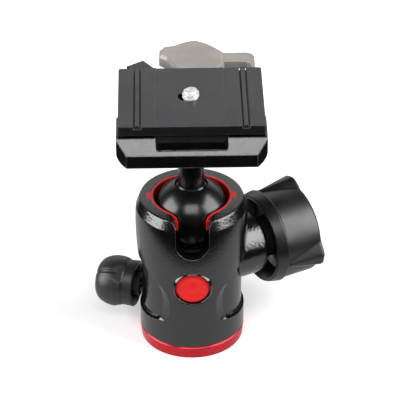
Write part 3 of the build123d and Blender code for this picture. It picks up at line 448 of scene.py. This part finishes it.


# Each finish's worn colour is lighter than the finish itself. It marks rubbed edges and also paints a
# highlight along the edges.
HOUSING_PAINT = Finish(
    "housing_paint", srgb(6, 6, 7), srgb(9, 9, 10), 0.18, unevenness=0.02, specular=1.0,
    grain_scale=1450.0, grain_height=0.000055, coarse=0.1, worn_and_lit=grey(110), wear_and_highlight=0.5, wear_and_highlight_radius=0.0004,
    edge_radius=0.0005, dust=0.03,
)
CLAMP_PAINT = Finish(
    "clamp_paint", srgb(6, 6, 7), srgb(9, 9, 10), 0.2, unevenness=0.02, specular=1.0,
    grain_scale=1400.0, grain_height=0.00008, coarse=0.1, worn_and_lit=grey(140), wear_and_highlight=0.5, wear_and_highlight_radius=0.0005,
    edge_radius=0.0007, dust=0.03,
)
PLATE_ANODISED = Finish(
    "plate_anodised", srgb(15, 15, 20), srgb(18, 18, 24), 0.34, unevenness=0.03, specular=0.9,
    grain_scale=5200.0, grain_height=0.000006, worn_and_lit=grey(150), wear_and_highlight=0.35, edge_radius=0.0008, dust=0.05,
)
RED_ANODISED = Finish(
    "red_anodised", srgb(196, 34, 48), srgb(180, 28, 42), 0.3, metallic=0.6, grain_scale=6000.0,
    grain_height=0.000004, worn_and_lit=srgb(225, 120, 120), rings=4200.0, dust=0.06,
)
LINER_RED = Finish(
    "liner_red", srgb(206, 30, 26), srgb(188, 22, 20), 0.34, grain_scale=5000.0,
    grain_height=0.000005, worn_and_lit=srgb(220, 90, 80), dust=0.05,
)
BADGE_RED = Finish(
    "badge_red", srgb(206, 22, 18), srgb(194, 16, 14), 0.2, unevenness=0.03, specular=0.4,
    grain_scale=1500.0, grain_height=0.000001, worn_and_lit=srgb(230, 90, 80), wear_and_highlight=0.15, dust=0.03,
)
BEZEL = Finish(
    "bezel_black", grey(8), grey(11), 0.16, unevenness=0.03, specular=1.0, grain_scale=5000.0,
    grain_height=0.000001, worn_and_lit=grey(90), wear_and_highlight=0.2, edge_radius=0.0001, dust=0.02,
)
BALL_BLACK = Finish(
    "ball_black", srgb(5, 5, 6), srgb(7, 7, 8), 0.23, unevenness=0.03, specular=0.6, grain_scale=7000.0,
    grain_height=0.000001, wear_and_highlight=0.0, dust=0.06,
)
STEM_BLACK = Finish(
    "stem_black", srgb(6, 6, 7), srgb(9, 9, 10), 0.2, specular=0.6, grain_scale=5000.0,
    grain_height=0.000003, worn_and_lit=grey(90), wear_and_highlight=0.2, rings=3800.0, dust=0.06,
)
KNOB_RUBBER = Finish(
    "knob_rubber", srgb(9, 9, 10), srgb(13, 13, 14), 0.36, unevenness=0.04, specular=0.7,
    grain_scale=2800.0, grain_height=0.000008, coarse=0.6, worn_and_lit=grey(60), wear_and_highlight_radius=0.0005, dust=0.06,
)
KNOB_PLASTIC = Finish(
    "knob_plastic", srgb(34, 34, 36), srgb(40, 40, 42), 0.42, grain_height=0.000008, worn_and_lit=grey(84),
    wear_and_highlight=0.35, wear_and_highlight_radius=0.0004, dust=0.06,
)
CAP_PLASTIC = Finish(
    "cap_plastic", srgb(9, 9, 10), srgb(13, 13, 14), 0.3, specular=0.7, grain_scale=3600.0,
    grain_height=0.000008, worn_and_lit=grey(70), wear_and_highlight=0.25, dust=0.08,
)
LEVER_TAUPE = Finish(
    "lever_taupe", srgb(163, 156, 151), srgb(153, 146, 141), 0.34, metallic=0.25, grain_scale=3400.0,
    grain_height=0.000012, worn_and_lit=srgb(190, 184, 178), wear_and_highlight=0.4, wear_and_highlight_radius=0.0004, edge_radius=0.0004,
    dust=0.2,
)
CATCH_PLASTIC = Finish(
    "catch_plastic", srgb(10, 10, 11), srgb(14, 14, 15), 0.32, specular=0.8, grain_scale=3200.0,
    worn_and_lit=grey(70), wear_and_highlight=0.25, dust=0.08,
)
STRIP_RUBBER = Finish(
    "strip_rubber", srgb(26, 26, 31), srgb(22, 22, 27), 0.42, unevenness=0.04, specular=1.0,
    grain_height=0.000008, worn_and_lit=grey(70), wear_and_highlight=0.2, dust=0.12,
)
SCREW_CHROME = Finish(
    "screw_chrome", grey(240), grey(230), 0.3, metallic=0.6, grain_scale=6000.0, grain_height=0.000002,
    worn_and_lit=grey(235), wear_and_highlight=0.4, rings=6000.0, ring_height=0.000002, dust=0.05,
)
PLAIN_STEEL = Finish(
    "plain_steel", grey(176), grey(158), 0.28, metallic=1.0, grain_scale=6000.0, grain_height=0.000003,
    worn_and_lit=grey(215), wear_and_highlight=0.4, rings=5200.0, dust=0.08,
)
SPRING_STEEL = Finish(
    "spring_steel", srgb(130, 132, 138), srgb(112, 112, 116), 0.3, metallic=1.0, grain_scale=6500.0,
    grain_height=0.000003, worn_and_lit=grey(190),
)
CAST_ALUMINIUM = Finish(
    "cast_aluminium", grey(168), grey(150), 0.46, metallic=1.0, grain_scale=2600.0, grain_height=0.00002,
    worn_and_lit=grey(205), wear_and_highlight=0.4, dust=0.12,
)
BRASS = Finish(
    "brass", srgb(196, 164, 92), srgb(176, 142, 74), 0.3, metallic=1.0, grain_scale=5200.0,
    grain_height=0.000003, worn_and_lit=srgb(226, 200, 130), wear_and_highlight=0.4, rings=4400.0,
)
NYLON_WHITE = Finish(
    "nylon_white", srgb(222, 220, 212), srgb(210, 206, 196), 0.5, grain_scale=2800.0, grain_height=0.000012,
    worn_and_lit=srgb(235, 233, 226), wear_and_highlight=0.2,
)
NYLON_BLACK = Finish(
    "nylon_black", srgb(14, 14, 15), srgb(19, 19, 20), 0.5, grain_scale=2800.0, worn_and_lit=grey(60),
    wear_and_highlight=0.2, dust=0.06,
)

FINISHED_NODES: dict[Finish, tuple[str, ...]] = {
    RED_ANODISED: ("base_disc",),
    HOUSING_PAINT: ("housing",),
    CLAMP_PAINT: ("clamp_body",),
    PLATE_ANODISED: ("camera_plate",),
    LINER_RED: ("ball_liner",),
    BADGE_RED: ("badge_disc",),
    BALL_BLACK: ("ball",),
    STEM_BLACK: ("stem", "pan_screw", "catch_pin"),
    CAP_PLASTIC: ("lock_knob_cap",),
    LEVER_TAUPE: ("clamp_lever",),
    CATCH_PLASTIC: ("safety_catch",),
    STRIP_RUBBER: ("grip_strip_left", "grip_strip_right"),
    PLAIN_STEEL: (
        "base_thread_bush", "pan_washer", "thrust_plate", "lock_screw", "platform_screw", "lever_pin",
    ),
    SPRING_STEEL: ("pan_circlip", "disc_spring", "lever_spring"),
    CAST_ALUMINIUM: ("pan_hub", "lift_piston"),
    BRASS: ("lock_wedge", "brake_pad", "trip_pin"),
    NYLON_WHITE: ("pan_glide_ring",),
    NYLON_BLACK: ("ball_seat", "lock_knob_core", "pan_knob_insert", "screw_washer"),
}


def dress(piece: bpy.types.Object, finish: Finish) -> None:
    """Gives a piece one finish in place of the materials it has."""
    piece.data.materials.clear()
    piece.data.materials.append(finish.material())


# ---- meshes
@dataclass(frozen=True)
class Shaft:
    """An axis with a start point: where a turned or moulded piece sits.

    Args:
        origin: A point on the axis, in metres.
        along: Unit vector along the axis.
        side: Unit vector from which angles are counted.
    """

    origin: Vector
    along: Vector
    side: Vector

    @staticmethod
    def upright() -> "Shaft":
        """The head's own axis, with angles counted from +X."""
        return Shaft(Vector((0, 0, 0)), Vector((0, 0, 1)), Vector((1, 0, 0)))

    @staticmethod
    def sideways(azimuth: float, height: float) -> "Shaft":
        """A level axis through the head's axis, with angles counted from its left-hand side upwards.

        Args:
            azimuth: Where it points, in degrees from +X.
            height: Its height, in millimetres.

        Returns:
            The shaft.
        """
        turn = radians(azimuth)
        along = Vector((cos(turn), sin(turn), 0))
        return Shaft(Vector((0, 0, height * MM)), along, Vector((-sin(turn), cos(turn), 0)))

    def point(self, distance: float, radius: float, angle: float) -> Vector:
        """A point given by its place on and round the shaft.

        Args:
            distance: How far along the axis, in millimetres.
            radius: How far from the axis, in millimetres.
            angle: How far round it, in radians.

        Returns:
            The point, in metres.
        """
        up = self.along.cross(self.side)
        across = self.side * cos(angle) + up * sin(angle)
        return self.origin + self.along * (distance * MM) + across * (radius * MM)


Ring = Callable[[float], float]
Station = tuple[float, Ring]


def new_piece(name: str, made: bmesh.types.BMesh) -> bpy.types.Object:
    """Turns a mesh under construction into a smooth-shaded object in the scene.

    Args:
        name: The piece's name.
        made: The mesh, which is used up.

    Returns:
        The object.
    """
    bmesh.ops.recalc_face_normals(made, faces=made.faces)
    mesh = bpy.data.meshes.new(name)
    made.to_mesh(mesh)
    made.free()
    mesh.shade_smooth()
    piece = bpy.data.objects.new(name, mesh)
    bpy.context.scene.collection.objects.link(piece)
    return piece


def polar_skin(name: str, shaft: Shaft, stations: Sequence[Station], steps: int) -> bpy.types.Object:
    """Builds a closed skin from rings round a shaft.

    Args:
        name: The piece's name.
        shaft: The axis.
        stations: For each ring, its distance along the axis and its radius by angle, in millimetres. The
            last ring is joined to the first, which closes the skin.
        steps: Points in a ring.

    Returns:
        The object.
    """
    made = bmesh.new()
    angles = [tau * step / steps for step in range(steps)]
    rings = [
        [made.verts.new(shaft.point(distance, radius(angle), angle)) for angle in angles]
        for distance, radius in stations
    ]
    for ring, following in zip(rings, rings[1:] + rings[:1]):
        for step in range(steps):
            after = (step + 1) % steps
            made.faces.new((ring[step], ring[after], following[after], following[step]))
    return new_piece(name, made)


def steady(radius: float) -> Ring:
    """A ring of one radius."""
    return lambda angle: radius


def spread(low: float, high: float, count: int) -> list[float]:
    """Evenly spaced numbers from low to high, both included."""
    return [lerp(low, high, step / (count - 1)) for step in range(count)]


# ---- badge ring
@dataclass
class BadgeRing:
    """The ring round the badge: a rounded crest and a slope that falls outwards."""

    inner_radius: float = 6.55
    crest_radius: float = 6.75
    outer_radius: float = 7.58
    inner_drop: float = 0.3
    outer_drop: float = 0.85
    slope_power: float = 1.3
    slope_start: float = 0.1
    proud: float = 1.1
    crest_rings: int = 7
    slope_rings: int = 8
    steps: int = 160

    def build(self) -> None:
        """Builds the ring in place of the flat one."""
        low, high = (Vector(corner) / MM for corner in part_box("badge_bezel"))
        front, back = self.proud - low.y, -high.y
        shaft = Shaft(Vector((0, 0, (low.z + high.z) / 2 * MM)), Vector((0, -1, 0)), Vector((1, 0, 0)))
        rings: list[Station] = [(back, steady(self.inner_radius))]
        for turn in spread(0, pi / 2, self.crest_rings):
            radius = self.crest_radius - (self.crest_radius - self.inner_radius) * cos(turn)
            rings.append((front - self.inner_drop * (1 - sin(turn)), steady(radius)))
        for share in spread(self.slope_start, 1.0, self.slope_rings):
            radius = lerp(self.crest_radius, self.outer_radius, share)
            rings.append((front - self.outer_drop * share**self.slope_power, steady(radius)))
        rings.append((back, steady(self.outer_radius)))
        ring = polar_skin("badge_ring", shaft, rings, self.steps)
        dress(ring, BEZEL)
        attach(ring, "housing")
        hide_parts("badge_bezel")
        log.info("badge ring: %d faces", len(ring.data.polygons))


# ---- ball lock knob
@dataclass
class LockKnob:
    """The large grip that locks the ball: a flared skirt, a drum and three lobes that grow outwards."""

    azimuth: float = 28.0
    height: float = 32.5
    start: float = 28.2
    band_end: float = 32.7
    end: float = 47.8
    skirt_radius: float = 17.4
    band_radius: float = 18.3
    body_radius: float = 17.6
    wall: float = 1.5
    rim: float = 0.6
    band_start: float = 1.6
    step_length: float = 0.25
    step_drops: tuple[float, float] = (0.12, 0.5)
    drum_end: float = 46.2
    edge_start: float = 46.35
    cavity_end: float = 37.0
    cavity_corner: float = 0.5
    screw_radius: float = 4.0
    screw_depth: float = 2.6
    cap_radius: float = 12.5
    cap_gap: float = 0.02
    cap_depth: float = 0.8
    cap_edge: float = 0.15
    rounding: float = 1.5
    tip_radius: float = 20.6
    root_half_width: float = 6.4
    tip_half_width: float = 2.0
    first_root_half: float = 1.2
    first_tip_half: float = 0.4
    lobe_angles: tuple[float, ...] = (72.0, 192.0, 312.0)
    corner: float = 0.16
    face_shares: tuple[float, ...] = (0.92, 0.75, 0.5, 0.25, 0.06)
    rim_rings: int = 5
    band_rings: int = 8
    drum_rings: int = 44
    edge_rings: int = 9
    steps: int = 360

    def lobe(self, distance: float, angle: float) -> float:
        """How far the lobes stand out from the drum.

        Args:
            distance: How far along the axis, in millimetres.
            angle: How far round it, in radians.

        Returns:
            The height over the drum, in millimetres.
        """
        grown = clamp01((distance - self.band_end) / (self.end - self.band_end))
        tip = lerp(self.band_radius, self.tip_radius, grown) - self.body_radius
        half = lerp(self.first_root_half, self.root_half_width, grown)
        flat = lerp(self.first_tip_half, self.tip_half_width, grown)
        most = 0.0
        for lobe_angle in self.lobe_angles:
            away = (angle - radians(lobe_angle) + pi) % tau - pi
            if abs(away) < pi / 2:
                offset = abs(self.body_radius * sin(away))
                share = (half - offset) / (half - flat)
                rounded = soft_max(soft_min(share, 1.0, self.corner), 0.0, self.corner)
                most = max(most, tip * rounded)
        return most

    def radius(self, distance: float, angle: float) -> float:
        """The grip's radius, lobes and rounded end included.

        Args:
            distance: How far along the axis, in millimetres.
            angle: How far round it, in radians.

        Returns:
            The radius, in millimetres.
        """
        over = max(0.0, distance - (self.end - self.rounding))
        drop = self.rounding - sqrt(max(0.0, self.rounding**2 - over**2))
        return self.body_radius + self.lobe(distance, angle) - drop

    def face(self, share: float) -> Station:
        """A ring of the end face, a share of the way from the cap's recess to the edge."""
        return self.end, lambda angle: lerp(self.cap_radius, self.radius(self.end, angle), share)

    def stations(self) -> list[Station]:
        """The skin's rings, from the cavity round the rim and the drum to the cap's recess.

        Returns:
            The rings in order.
        """
        inner = self.skirt_radius - self.wall
        recess = self.cap_radius + self.cap_gap
        rings: list[Station] = [
            (self.cavity_end + self.screw_depth, steady(self.screw_radius)),
            (self.cavity_end, steady(self.screw_radius)),
            (self.cavity_end, steady(inner - self.cavity_corner)),
            (self.cavity_end - self.cavity_corner, steady(inner)),
            (self.start + self.rim / 2, steady(inner)),
        ]
        for degrees in spread(180, 90, self.rim_rings):
            turn = radians(degrees)
            out = self.skirt_radius - self.rim + self.rim * sin(turn)
            rings.append((self.start + self.rim + self.rim * cos(turn), steady(out)))
        band_start = self.start + self.band_start
        for distance in spread(band_start, self.band_end - self.step_length, self.band_rings):
            share = (distance - self.start) / (self.band_end - self.start)
            rings.append((distance, steady(lerp(self.skirt_radius, self.band_radius, share))))
        for step, drop in enumerate(self.step_drops):
            rings.append((self.band_end + step * self.step_length, steady(self.band_radius - drop)))
        drum_start = self.band_end + 2 * self.step_length
        places = spread(drum_start, self.drum_end, self.drum_rings)
        places += spread(self.edge_start, self.end, self.edge_rings)
        rings.extend((distance, partial(self.radius, distance)) for distance in places)
        rings.extend(self.face(share) for share in self.face_shares)
        rings.append((self.end - self.cap_edge, steady(recess)))
        rings.append((self.end - self.cap_depth, steady(recess)))
        rings.append((self.end - self.cap_depth, steady(self.screw_radius)))
        return rings

    def build(self) -> None:
        """Builds the grip in place of the plain solid."""
        shaft = Shaft.sideways(self.azimuth, self.height)
        grip = polar_skin("lock_knob_grip", shaft, self.stations(), self.steps)
        dress(grip, KNOB_RUBBER)
        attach(grip, "ball_lock")
        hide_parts("lock_knob")
        log.info("ball lock grip: %d faces", len(grip.data.polygons))


# ---- pan lock knob
@dataclass
class PanKnob:
    """The small pan grip: a skirt, a neck and a domed nose with three leaning flats, each with a groove."""

    azimuth: float = 163.0
    height: float = 16.8
    start: float = 22.0
    neck: float = 26.2
    widest: float = 29.5
    end: float = 37.6
    skirt_radius: float = 9.0
    neck_radius: float = 8.8
    body_radius: float = 9.9
    nose_radius: float = 4.6
    shoulder: float = 0.6
    dome_power: float = 2.2
    wall: float = 1.3
    edge: float = 0.3
    neck_length: float = 0.4
    neck_rise: float = 0.1
    cavity: float = 4.5
    screw_radius: float = 3.0
    screw_depth: float = 2.6
    flat_start: float = 8.35
    flat_lean: float = 0.34
    flat_angles: tuple[float, ...] = (55.0, 175.0, 295.0)
    least_facing: float = 0.2
    groove_half_width: float = 0.9
    groove_depth: float = 0.65
    groove_slope: float = 2.2
    corner: float = 0.12
    body_start: float = 0.3
    body_stop: float = 1.0
    nose_start: float = 0.9
    nose_shares: tuple[float, ...] = (0.7, 0.4, 0.1, 0.01)
    body_rings: int = 36
    nose_rings: int = 14
    steps: int = 288

    def dome(self, distance: float) -> float:
        """The grip's radius without its flats: full at the widest place, and falling to the nose.

        Args:
            distance: How far along the axis, in millimetres.

        Returns:
            The radius, in millimetres.
        """
        if distance < self.widest:
            share = (distance - self.neck) / (self.widest - self.neck)
            return lerp(self.body_radius - self.shoulder, self.body_radius, sin(share * pi / 2))
        share = (distance - self.widest) / (self.end - self.widest)
        fullness = sqrt(max(0.0, 1 - share**self.dome_power))
        return lerp(self.nose_radius, self.body_radius, fullness)

    def radius(self, distance: float, angle: float) -> float:
        """The grip's radius, flats and grooves included.

        Args:
            distance: How far along the axis, in millimetres.
            angle: How far round it, in radians.

        Returns:
            The radius, in millimetres.
        """
        reach = self.flat_start + self.flat_lean * (distance - self.neck)
        dome = self.dome(distance)
        least = dome
        for flat_angle in self.flat_angles:
            away = angle - radians(flat_angle)
            if cos(away) > self.least_facing:
                least = soft_min(least, reach / cos(away), self.corner)
                across = abs(dome * sin(away)) / self.groove_half_width
                groove = dome - self.groove_depth * clamp01(self.groove_slope * (1 - across))
                least = soft_min(least, groove, self.corner)
        return least

    def stations(self) -> list[Station]:
        """The skin's rings, from the screw's hole round the skirt and the dome to the nose.

        Returns:
            The rings in order.
        """
        inner = self.skirt_radius - self.wall
        rings: list[Station] = [
            (self.start + self.cavity + self.screw_depth, steady(PINHOLE)),
            (self.start + self.cavity + self.screw_depth, steady(self.screw_radius)),
            (self.start + self.cavity, steady(self.screw_radius)),
            (self.start + self.cavity, steady(inner)),
            (self.start + self.edge, steady(inner)),
            (self.start, steady(inner + self.edge)),
            (self.start, steady(self.skirt_radius - self.edge)),
            (self.start + self.edge, steady(self.skirt_radius)),
            (self.neck - self.neck_length, steady(self.neck_radius)),
            (self.neck, steady(self.neck_radius + self.neck_rise)),
        ]
        places = spread(self.neck + self.body_start, self.end - self.body_stop, self.body_rings)
        places += spread(self.end - self.nose_start, self.end, self.nose_rings)
        rings.extend((distance, partial(self.radius, distance)) for distance in places)
        rings.extend((self.end, steady(self.nose_radius * share)) for share in self.nose_shares)
        return rings

    def build(self) -> None:
        """Builds the grip in place of the plain solid."""
        shaft = Shaft.sideways(self.azimuth, self.height)
        grip = polar_skin("pan_knob_grip", shaft, self.stations(), self.steps)
        dress(grip, KNOB_PLASTIC)
        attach(grip, "pan_lock")
        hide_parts("pan_knob")
        log.info("pan lock grip: %d faces", len(grip.data.polygons))


# ---- camera screw
@dataclass
class CameraScrew:
    """The quarter-inch camera screw with its cut thread and slotted head."""

    major_radius: float = 3.175
    thread_depth: float = 0.75
    pitch: float = 1.27
    ridge_slope: float = 2.0
    ridge_offset: float = 0.5
    corner: float = 0.15
    top: float = 107.3
    top_radius: float = 1.6
    lead_length: float = 1.9
    lead_radius: float = 2.15
    lead_depth: float = 0.6
    neck_radius: float = 2.6
    neck_top: float = 103.7
    neck_step: float = 0.02
    head_radius: float = 7.5
    head_bottom: float = 96.45
    head_top: float = 98.85
    head_edge: float = 0.3
    slot_width: float = 1.6
    slot_depth: float = 1.2
    turn_rings: int = 30
    steps: int = 96

    def radius(self, height: float, angle: float) -> float:
        """The thread's radius: a rounded vee that climbs one pitch in a turn and grows along the lead.

        Args:
            height: How high, in millimetres.
            angle: How far round, in radians.

        Returns:
            The radius, in millimetres.
        """
        lead = clamp01((self.top - height) / self.lead_length)
        crest_radius = lerp(self.lead_radius, self.major_radius, sin(lead * pi / 2))
        runout = clamp01((height - self.neck_top) / (self.pitch / 2))
        phase = (height / self.pitch - angle / tau) % 1.0
        crest = 1 - abs(2 * phase - 1)
        slope = self.ridge_slope * crest - self.ridge_offset
        ridge = soft_max(soft_min(slope, 1.0, self.corner), 0.0, self.corner)
        full = crest_radius - self.thread_depth * (1 - ridge) * lerp(self.lead_depth, 1.0, lead)
        return lerp(self.neck_radius, full, runout)

    def stations(self) -> list[Station]:
        """The skin's rings, from the head's underside to the thread's end.

        Returns:
            The rings in order.
        """
        edge = self.head_edge
        rings: list[Station] = [
            (self.head_bottom, steady(PINHOLE)),
            (self.head_bottom, steady(self.head_radius - edge)),
            (self.head_bottom + edge, steady(self.head_radius)),
            (self.head_top - edge, steady(self.head_radius)),
            (self.head_top, steady(self.head_radius - edge)),
            (self.head_top, steady(self.neck_radius)),
            (self.neck_top - self.neck_step, steady(self.neck_radius)),
        ]
        turns = (self.top - self.neck_top) / self.pitch
        heights = spread(self.neck_top, self.top, int(turns * self.turn_rings))
        rings.extend((height, partial(self.radius, height)) for height in heights)
        rings.append((self.top, steady(self.top_radius)))
        rings.append((self.top, steady(PINHOLE)))
        return rings

    def build(self) -> None:
        """Builds the screw in place of the plain solid, and cuts the coin slot into its head."""
        screw = polar_skin("camera_screw_threaded", Shaft.upright(), self.stations(), self.steps)
        cut_slot(screw, self.head_radius, self.slot_width, self.slot_depth, self.head_bottom)
        dress(screw, SCREW_CHROME)
        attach(screw, "camera_screw")
        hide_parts("camera_screw")
        log.info("camera screw: %d faces", len(screw.data.polygons))


def cut_slot(piece: bpy.types.Object, reach: float, width: float, depth: float, bottom: float) -> None:
    """Cuts a straight slot across the underside of a piece.

    Args:
        piece: The piece, which must be closed.
        reach: How far the slot runs from the axis, in millimetres.
        width: The slot's width, in millimetres.
        depth: The slot's depth, in millimetres.
        bottom: Height of the underside, in millimetres.
    """
    overrun = 1.2
    made = bmesh.new()
    bmesh.ops.create_cube(made, size=1.0)
    size = Vector((2 * overrun * reach * MM, width * MM, 2 * depth * MM))
    bmesh.ops.scale(made, vec=size, verts=made.verts)
    bmesh.ops.translate(made, vec=Vector((0, 0, bottom * MM)), verts=made.verts)
    cutter = new_piece(f"{piece.name}_cutter", made)
    boolean = piece.modifiers.new("slot", "BOOLEAN")
    boolean.object = cutter
    boolean.operation = "DIFFERENCE"
    boolean.solver = "EXACT"
    bpy.context.view_layer.update()
    result = bpy.data.meshes.new_from_object(piece.evaluated_get(bpy.context.evaluated_depsgraph_get()))
    piece.modifiers.clear()
    piece.data = result
    bpy.data.objects.remove(cutter)


# ---- studio
@dataclass(frozen=True)
class Softbox:
    """A soft lamp, placed by where it is seen from the object.

    Args:
        name: Its name.
        azimuth: Degrees round from the front, to the right.
        elevation: Degrees above the level.
        distance: Metres from the object.
        width: Metres across.
        height: Metres up and down.
        brightness: How bright its face is, where 1 is white.
    """

    name: str
    azimuth: float
    elevation: float
    distance: float
    width: float
    height: float
    brightness: float


@dataclass
class Studio:
    """The pale floor, the soft lights, the white surroundings and the camera.

    The lift is white that the floor adds for the camera alone, less near the object. The table, the
    backdrop and the room are what gloss sees in place of the floor and the surroundings.
    """

    target: tuple[float, float, float] = (0.0, 0.0, 0.05)
    azimuth: float = -0.8
    elevation: float = 33.5
    roll: float = -0.2
    distance: float = 0.87
    focal_pixels: float = 2301.6
    picture_pixels: float = 400.0
    target_pixel: tuple[float, float] = (191.4, 220.45)
    sensor: float = 36.0
    near_clip: float = 0.01
    paper: int = 238
    floor_half_width: float = 3.0
    floor_lift: float = 0.2
    far_lift: float = 0.6
    far_start: float = 0.06
    far_end: float = 0.22
    table_back: float = 0.06
    table_radius: float = 0.139
    table_edge: float = 0.012
    table_gloss: float = 0.66
    backdrop_start: float = 0.55
    backdrop_full: float = 0.88
    backdrop_gloss: float = 0.85
    room_gloss: float = 0.03
    ambient: float = 0.12
    softboxes: tuple[Softbox, ...] = (
        Softbox("left_softbox", -80.0, 20.0, 0.7, 0.55, 0.6, 6.6),
        Softbox("right_softbox", 76.0, 29.0, 0.7, 0.55, 0.72, 6.2),
        Softbox("front_top_softbox", 0.0, 47.0, 0.95, 0.65, 0.4, 4.7),
    )

    def camera(self) -> None:
        """Places the camera and turns it so that the target falls on its pixel."""
        turn = radians(self.azimuth)
        tilt = radians(self.elevation)
        back = Vector((sin(turn) * cos(tilt), -cos(turn) * cos(tilt), sin(tilt)))
        right = Vector((cos(turn), sin(turn), 0))
        up = back.cross(right)
        metres = self.distance / self.focal_pixels
        half = self.picture_pixels / 2
        centre = Vector(self.target)
        centre += right * (half - self.target_pixel[0]) * metres
        centre += up * (self.target_pixel[1] - half) * metres
        place = Vector(self.target) + back * self.distance
        look = (place - centre).normalized()
        level = Vector((0, 0, 1)).cross(look).normalized()
        lean = radians(self.roll)
        sideways = level * cos(lean) + look.cross(level) * sin(lean)
        upright = look.cross(sideways)
        data = bpy.data.cameras.new("camera")
        data.sensor_width = self.sensor
        data.lens = self.focal_pixels / self.picture_pixels * self.sensor
        data.clip_start = self.near_clip
        camera = bpy.data.objects.new("camera", data)
        axes = Matrix((sideways, upright, look)).transposed()
        camera.matrix_world = Matrix.Translation(place) @ axes.to_4x4()
        bpy.context.scene.collection.objects.link(camera)
        bpy.context.scene.camera = camera

    def floor(self) -> None:
        """Lays a wide pale floor that looks white and keeps the object's shadow."""
        made = bmesh.new()
        bmesh.ops.create_grid(made, x_segments=1, y_segments=1, size=self.floor_half_width)
        floor = new_piece("floor", made)
        material = bpy.data.materials.new("floor_white")
        material.use_nodes = True
        material.node_tree.nodes.clear()
        graph = Graph(material.node_tree)
        paper = graph.node("ShaderNodeBsdfDiffuse", {"Color": grey(self.paper)}).outputs[0]
        away = graph.node("ShaderNodeVectorMath", {0: graph.place()}, operation="LENGTH").outputs["Value"]
        raised = graph.span(away, self.far_start, self.far_end, self.floor_lift, self.far_lift)
        lift = graph.node("ShaderNodeEmission", {"Color": WHITE, "Strength": raised}).outputs[0]
        lifted = graph.node("ShaderNodeAddShader", {0: paper, 1: lift}).outputs[0]
        centre = {0: graph.place(), 1: (0.0, self.table_back, 0.0)}
        across = graph.node("ShaderNodeVectorMath", centre, operation="DISTANCE").outputs["Value"]
        table_start = self.table_radius - self.table_edge
        table = graph.span(across, table_start, self.table_radius, self.table_gloss, 0.0)
        glow = graph.node("ShaderNodeEmission", {"Color": WHITE, "Strength": table}).outputs[0]
        rays = graph.node("ShaderNodeLightPath").outputs
        seen = graph.node("ShaderNodeMixShader", {0: rays["Is Camera Ray"], 1: paper, 2: lifted}).outputs[0]
        mirrored = graph.math("MAXIMUM", rays["Is Glossy Ray"], rays["Is Transmission Ray"])
        surface = graph.node("ShaderNodeMixShader", {0: mirrored, 1: seen, 2: glow})
        graph.node("ShaderNodeOutputMaterial", {"Surface": surface.outputs[0]})
        floor.data.materials.append(material)

    def world(self) -> None:
        """Surrounds the scene with white. Gloss shows the room dark, apart from the backdrop."""
        world = bpy.data.worlds.new("studio_white")
        world.use_nodes = True
        world.node_tree.nodes.clear()
        graph = Graph(world.node_tree)
        towards = graph.node("ShaderNodeTexCoord").outputs["Generated"]
        back = graph.node("ShaderNodeSeparateXYZ", {0: towards}).outputs["Y"]
        room = graph.span(back, self.backdrop_start, self.backdrop_full, self.room_gloss, self.backdrop_gloss)
        seen = graph.node("ShaderNodeBackground", {"Color": WHITE, "Strength": 1.0})
        mirrored = graph.node("ShaderNodeBackground", {"Color": WHITE, "Strength": room})
        light = graph.node("ShaderNodeBackground", {"Color": WHITE, "Strength": self.ambient})
        rays = graph.node("ShaderNodeLightPath").outputs
        glossy = graph.math("MAXIMUM", rays["Is Glossy Ray"], rays["Is Transmission Ray"])
        lit = graph.node("ShaderNodeMixShader", {0: glossy, 1: light.outputs[0], 2: mirrored.outputs[0]})
        shown = {0: rays["Is Camera Ray"], 1: lit.outputs[0], 2: seen.outputs[0]}
        surface = graph.node("ShaderNodeMixShader", shown)
        graph.node("ShaderNodeOutputWorld", {"Surface": surface.outputs[0]})
        bpy.context.scene.world = world

    def softbox(self, box: Softbox) -> None:
        """Hangs a soft lamp that faces the object. At pi watts a square metre its face is as bright as white.

        Args:
            box: The lamp's place, size and brightness.
        """
        turn = radians(box.azimuth)
        rise = radians(box.elevation)
        towards = Vector((sin(turn) * cos(rise), -cos(turn) * cos(rise), sin(rise)))
        data = bpy.data.lights.new(box.name, "AREA")
        data.shape = "RECTANGLE"
        data.size = box.width
        data.size_y = box.height
        data.energy = box.brightness * pi * box.width * box.height
        lamp = bpy.data.objects.new(box.name, data)
        lamp.location = Vector(self.target) + towards * box.distance
        lamp.rotation_euler = (-towards).to_track_quat("-Z", "Y").to_euler()
        bpy.context.scene.collection.objects.link(lamp)

    def build(self) -> None:
        """Sets up the whole studio."""
        self.camera()
        self.floor()
        self.world()
        for box in self.softboxes:
            self.softbox(box)
        bpy.context.scene.view_settings.view_transform = "Standard"
        lens = bpy.context.scene.camera.data.lens
        log.info("studio: %d soft lamps, camera %.0f mm", len(self.softboxes), lens)


# ---- the whole object
def dress_nodes() -> None:
    """Gives every carried-over solid its finish."""
    for finish, names in FINISHED_NODES.items():
        for name in names:
            dress(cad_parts[name], finish)
            log.info("dressed %s as %s", name, finish.name)


def main() -> None:
    """Builds the studio and every piece in order."""
    logging.basicConfig(level=logging.INFO, format="%(name)s: %(message)s")
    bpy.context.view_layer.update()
    Studio().build()
    dress_nodes()
    BadgeRing().build()
    LockKnob().build()
    PanKnob().build()
    CameraScrew().build()


if __name__ == "__main__":
    main()
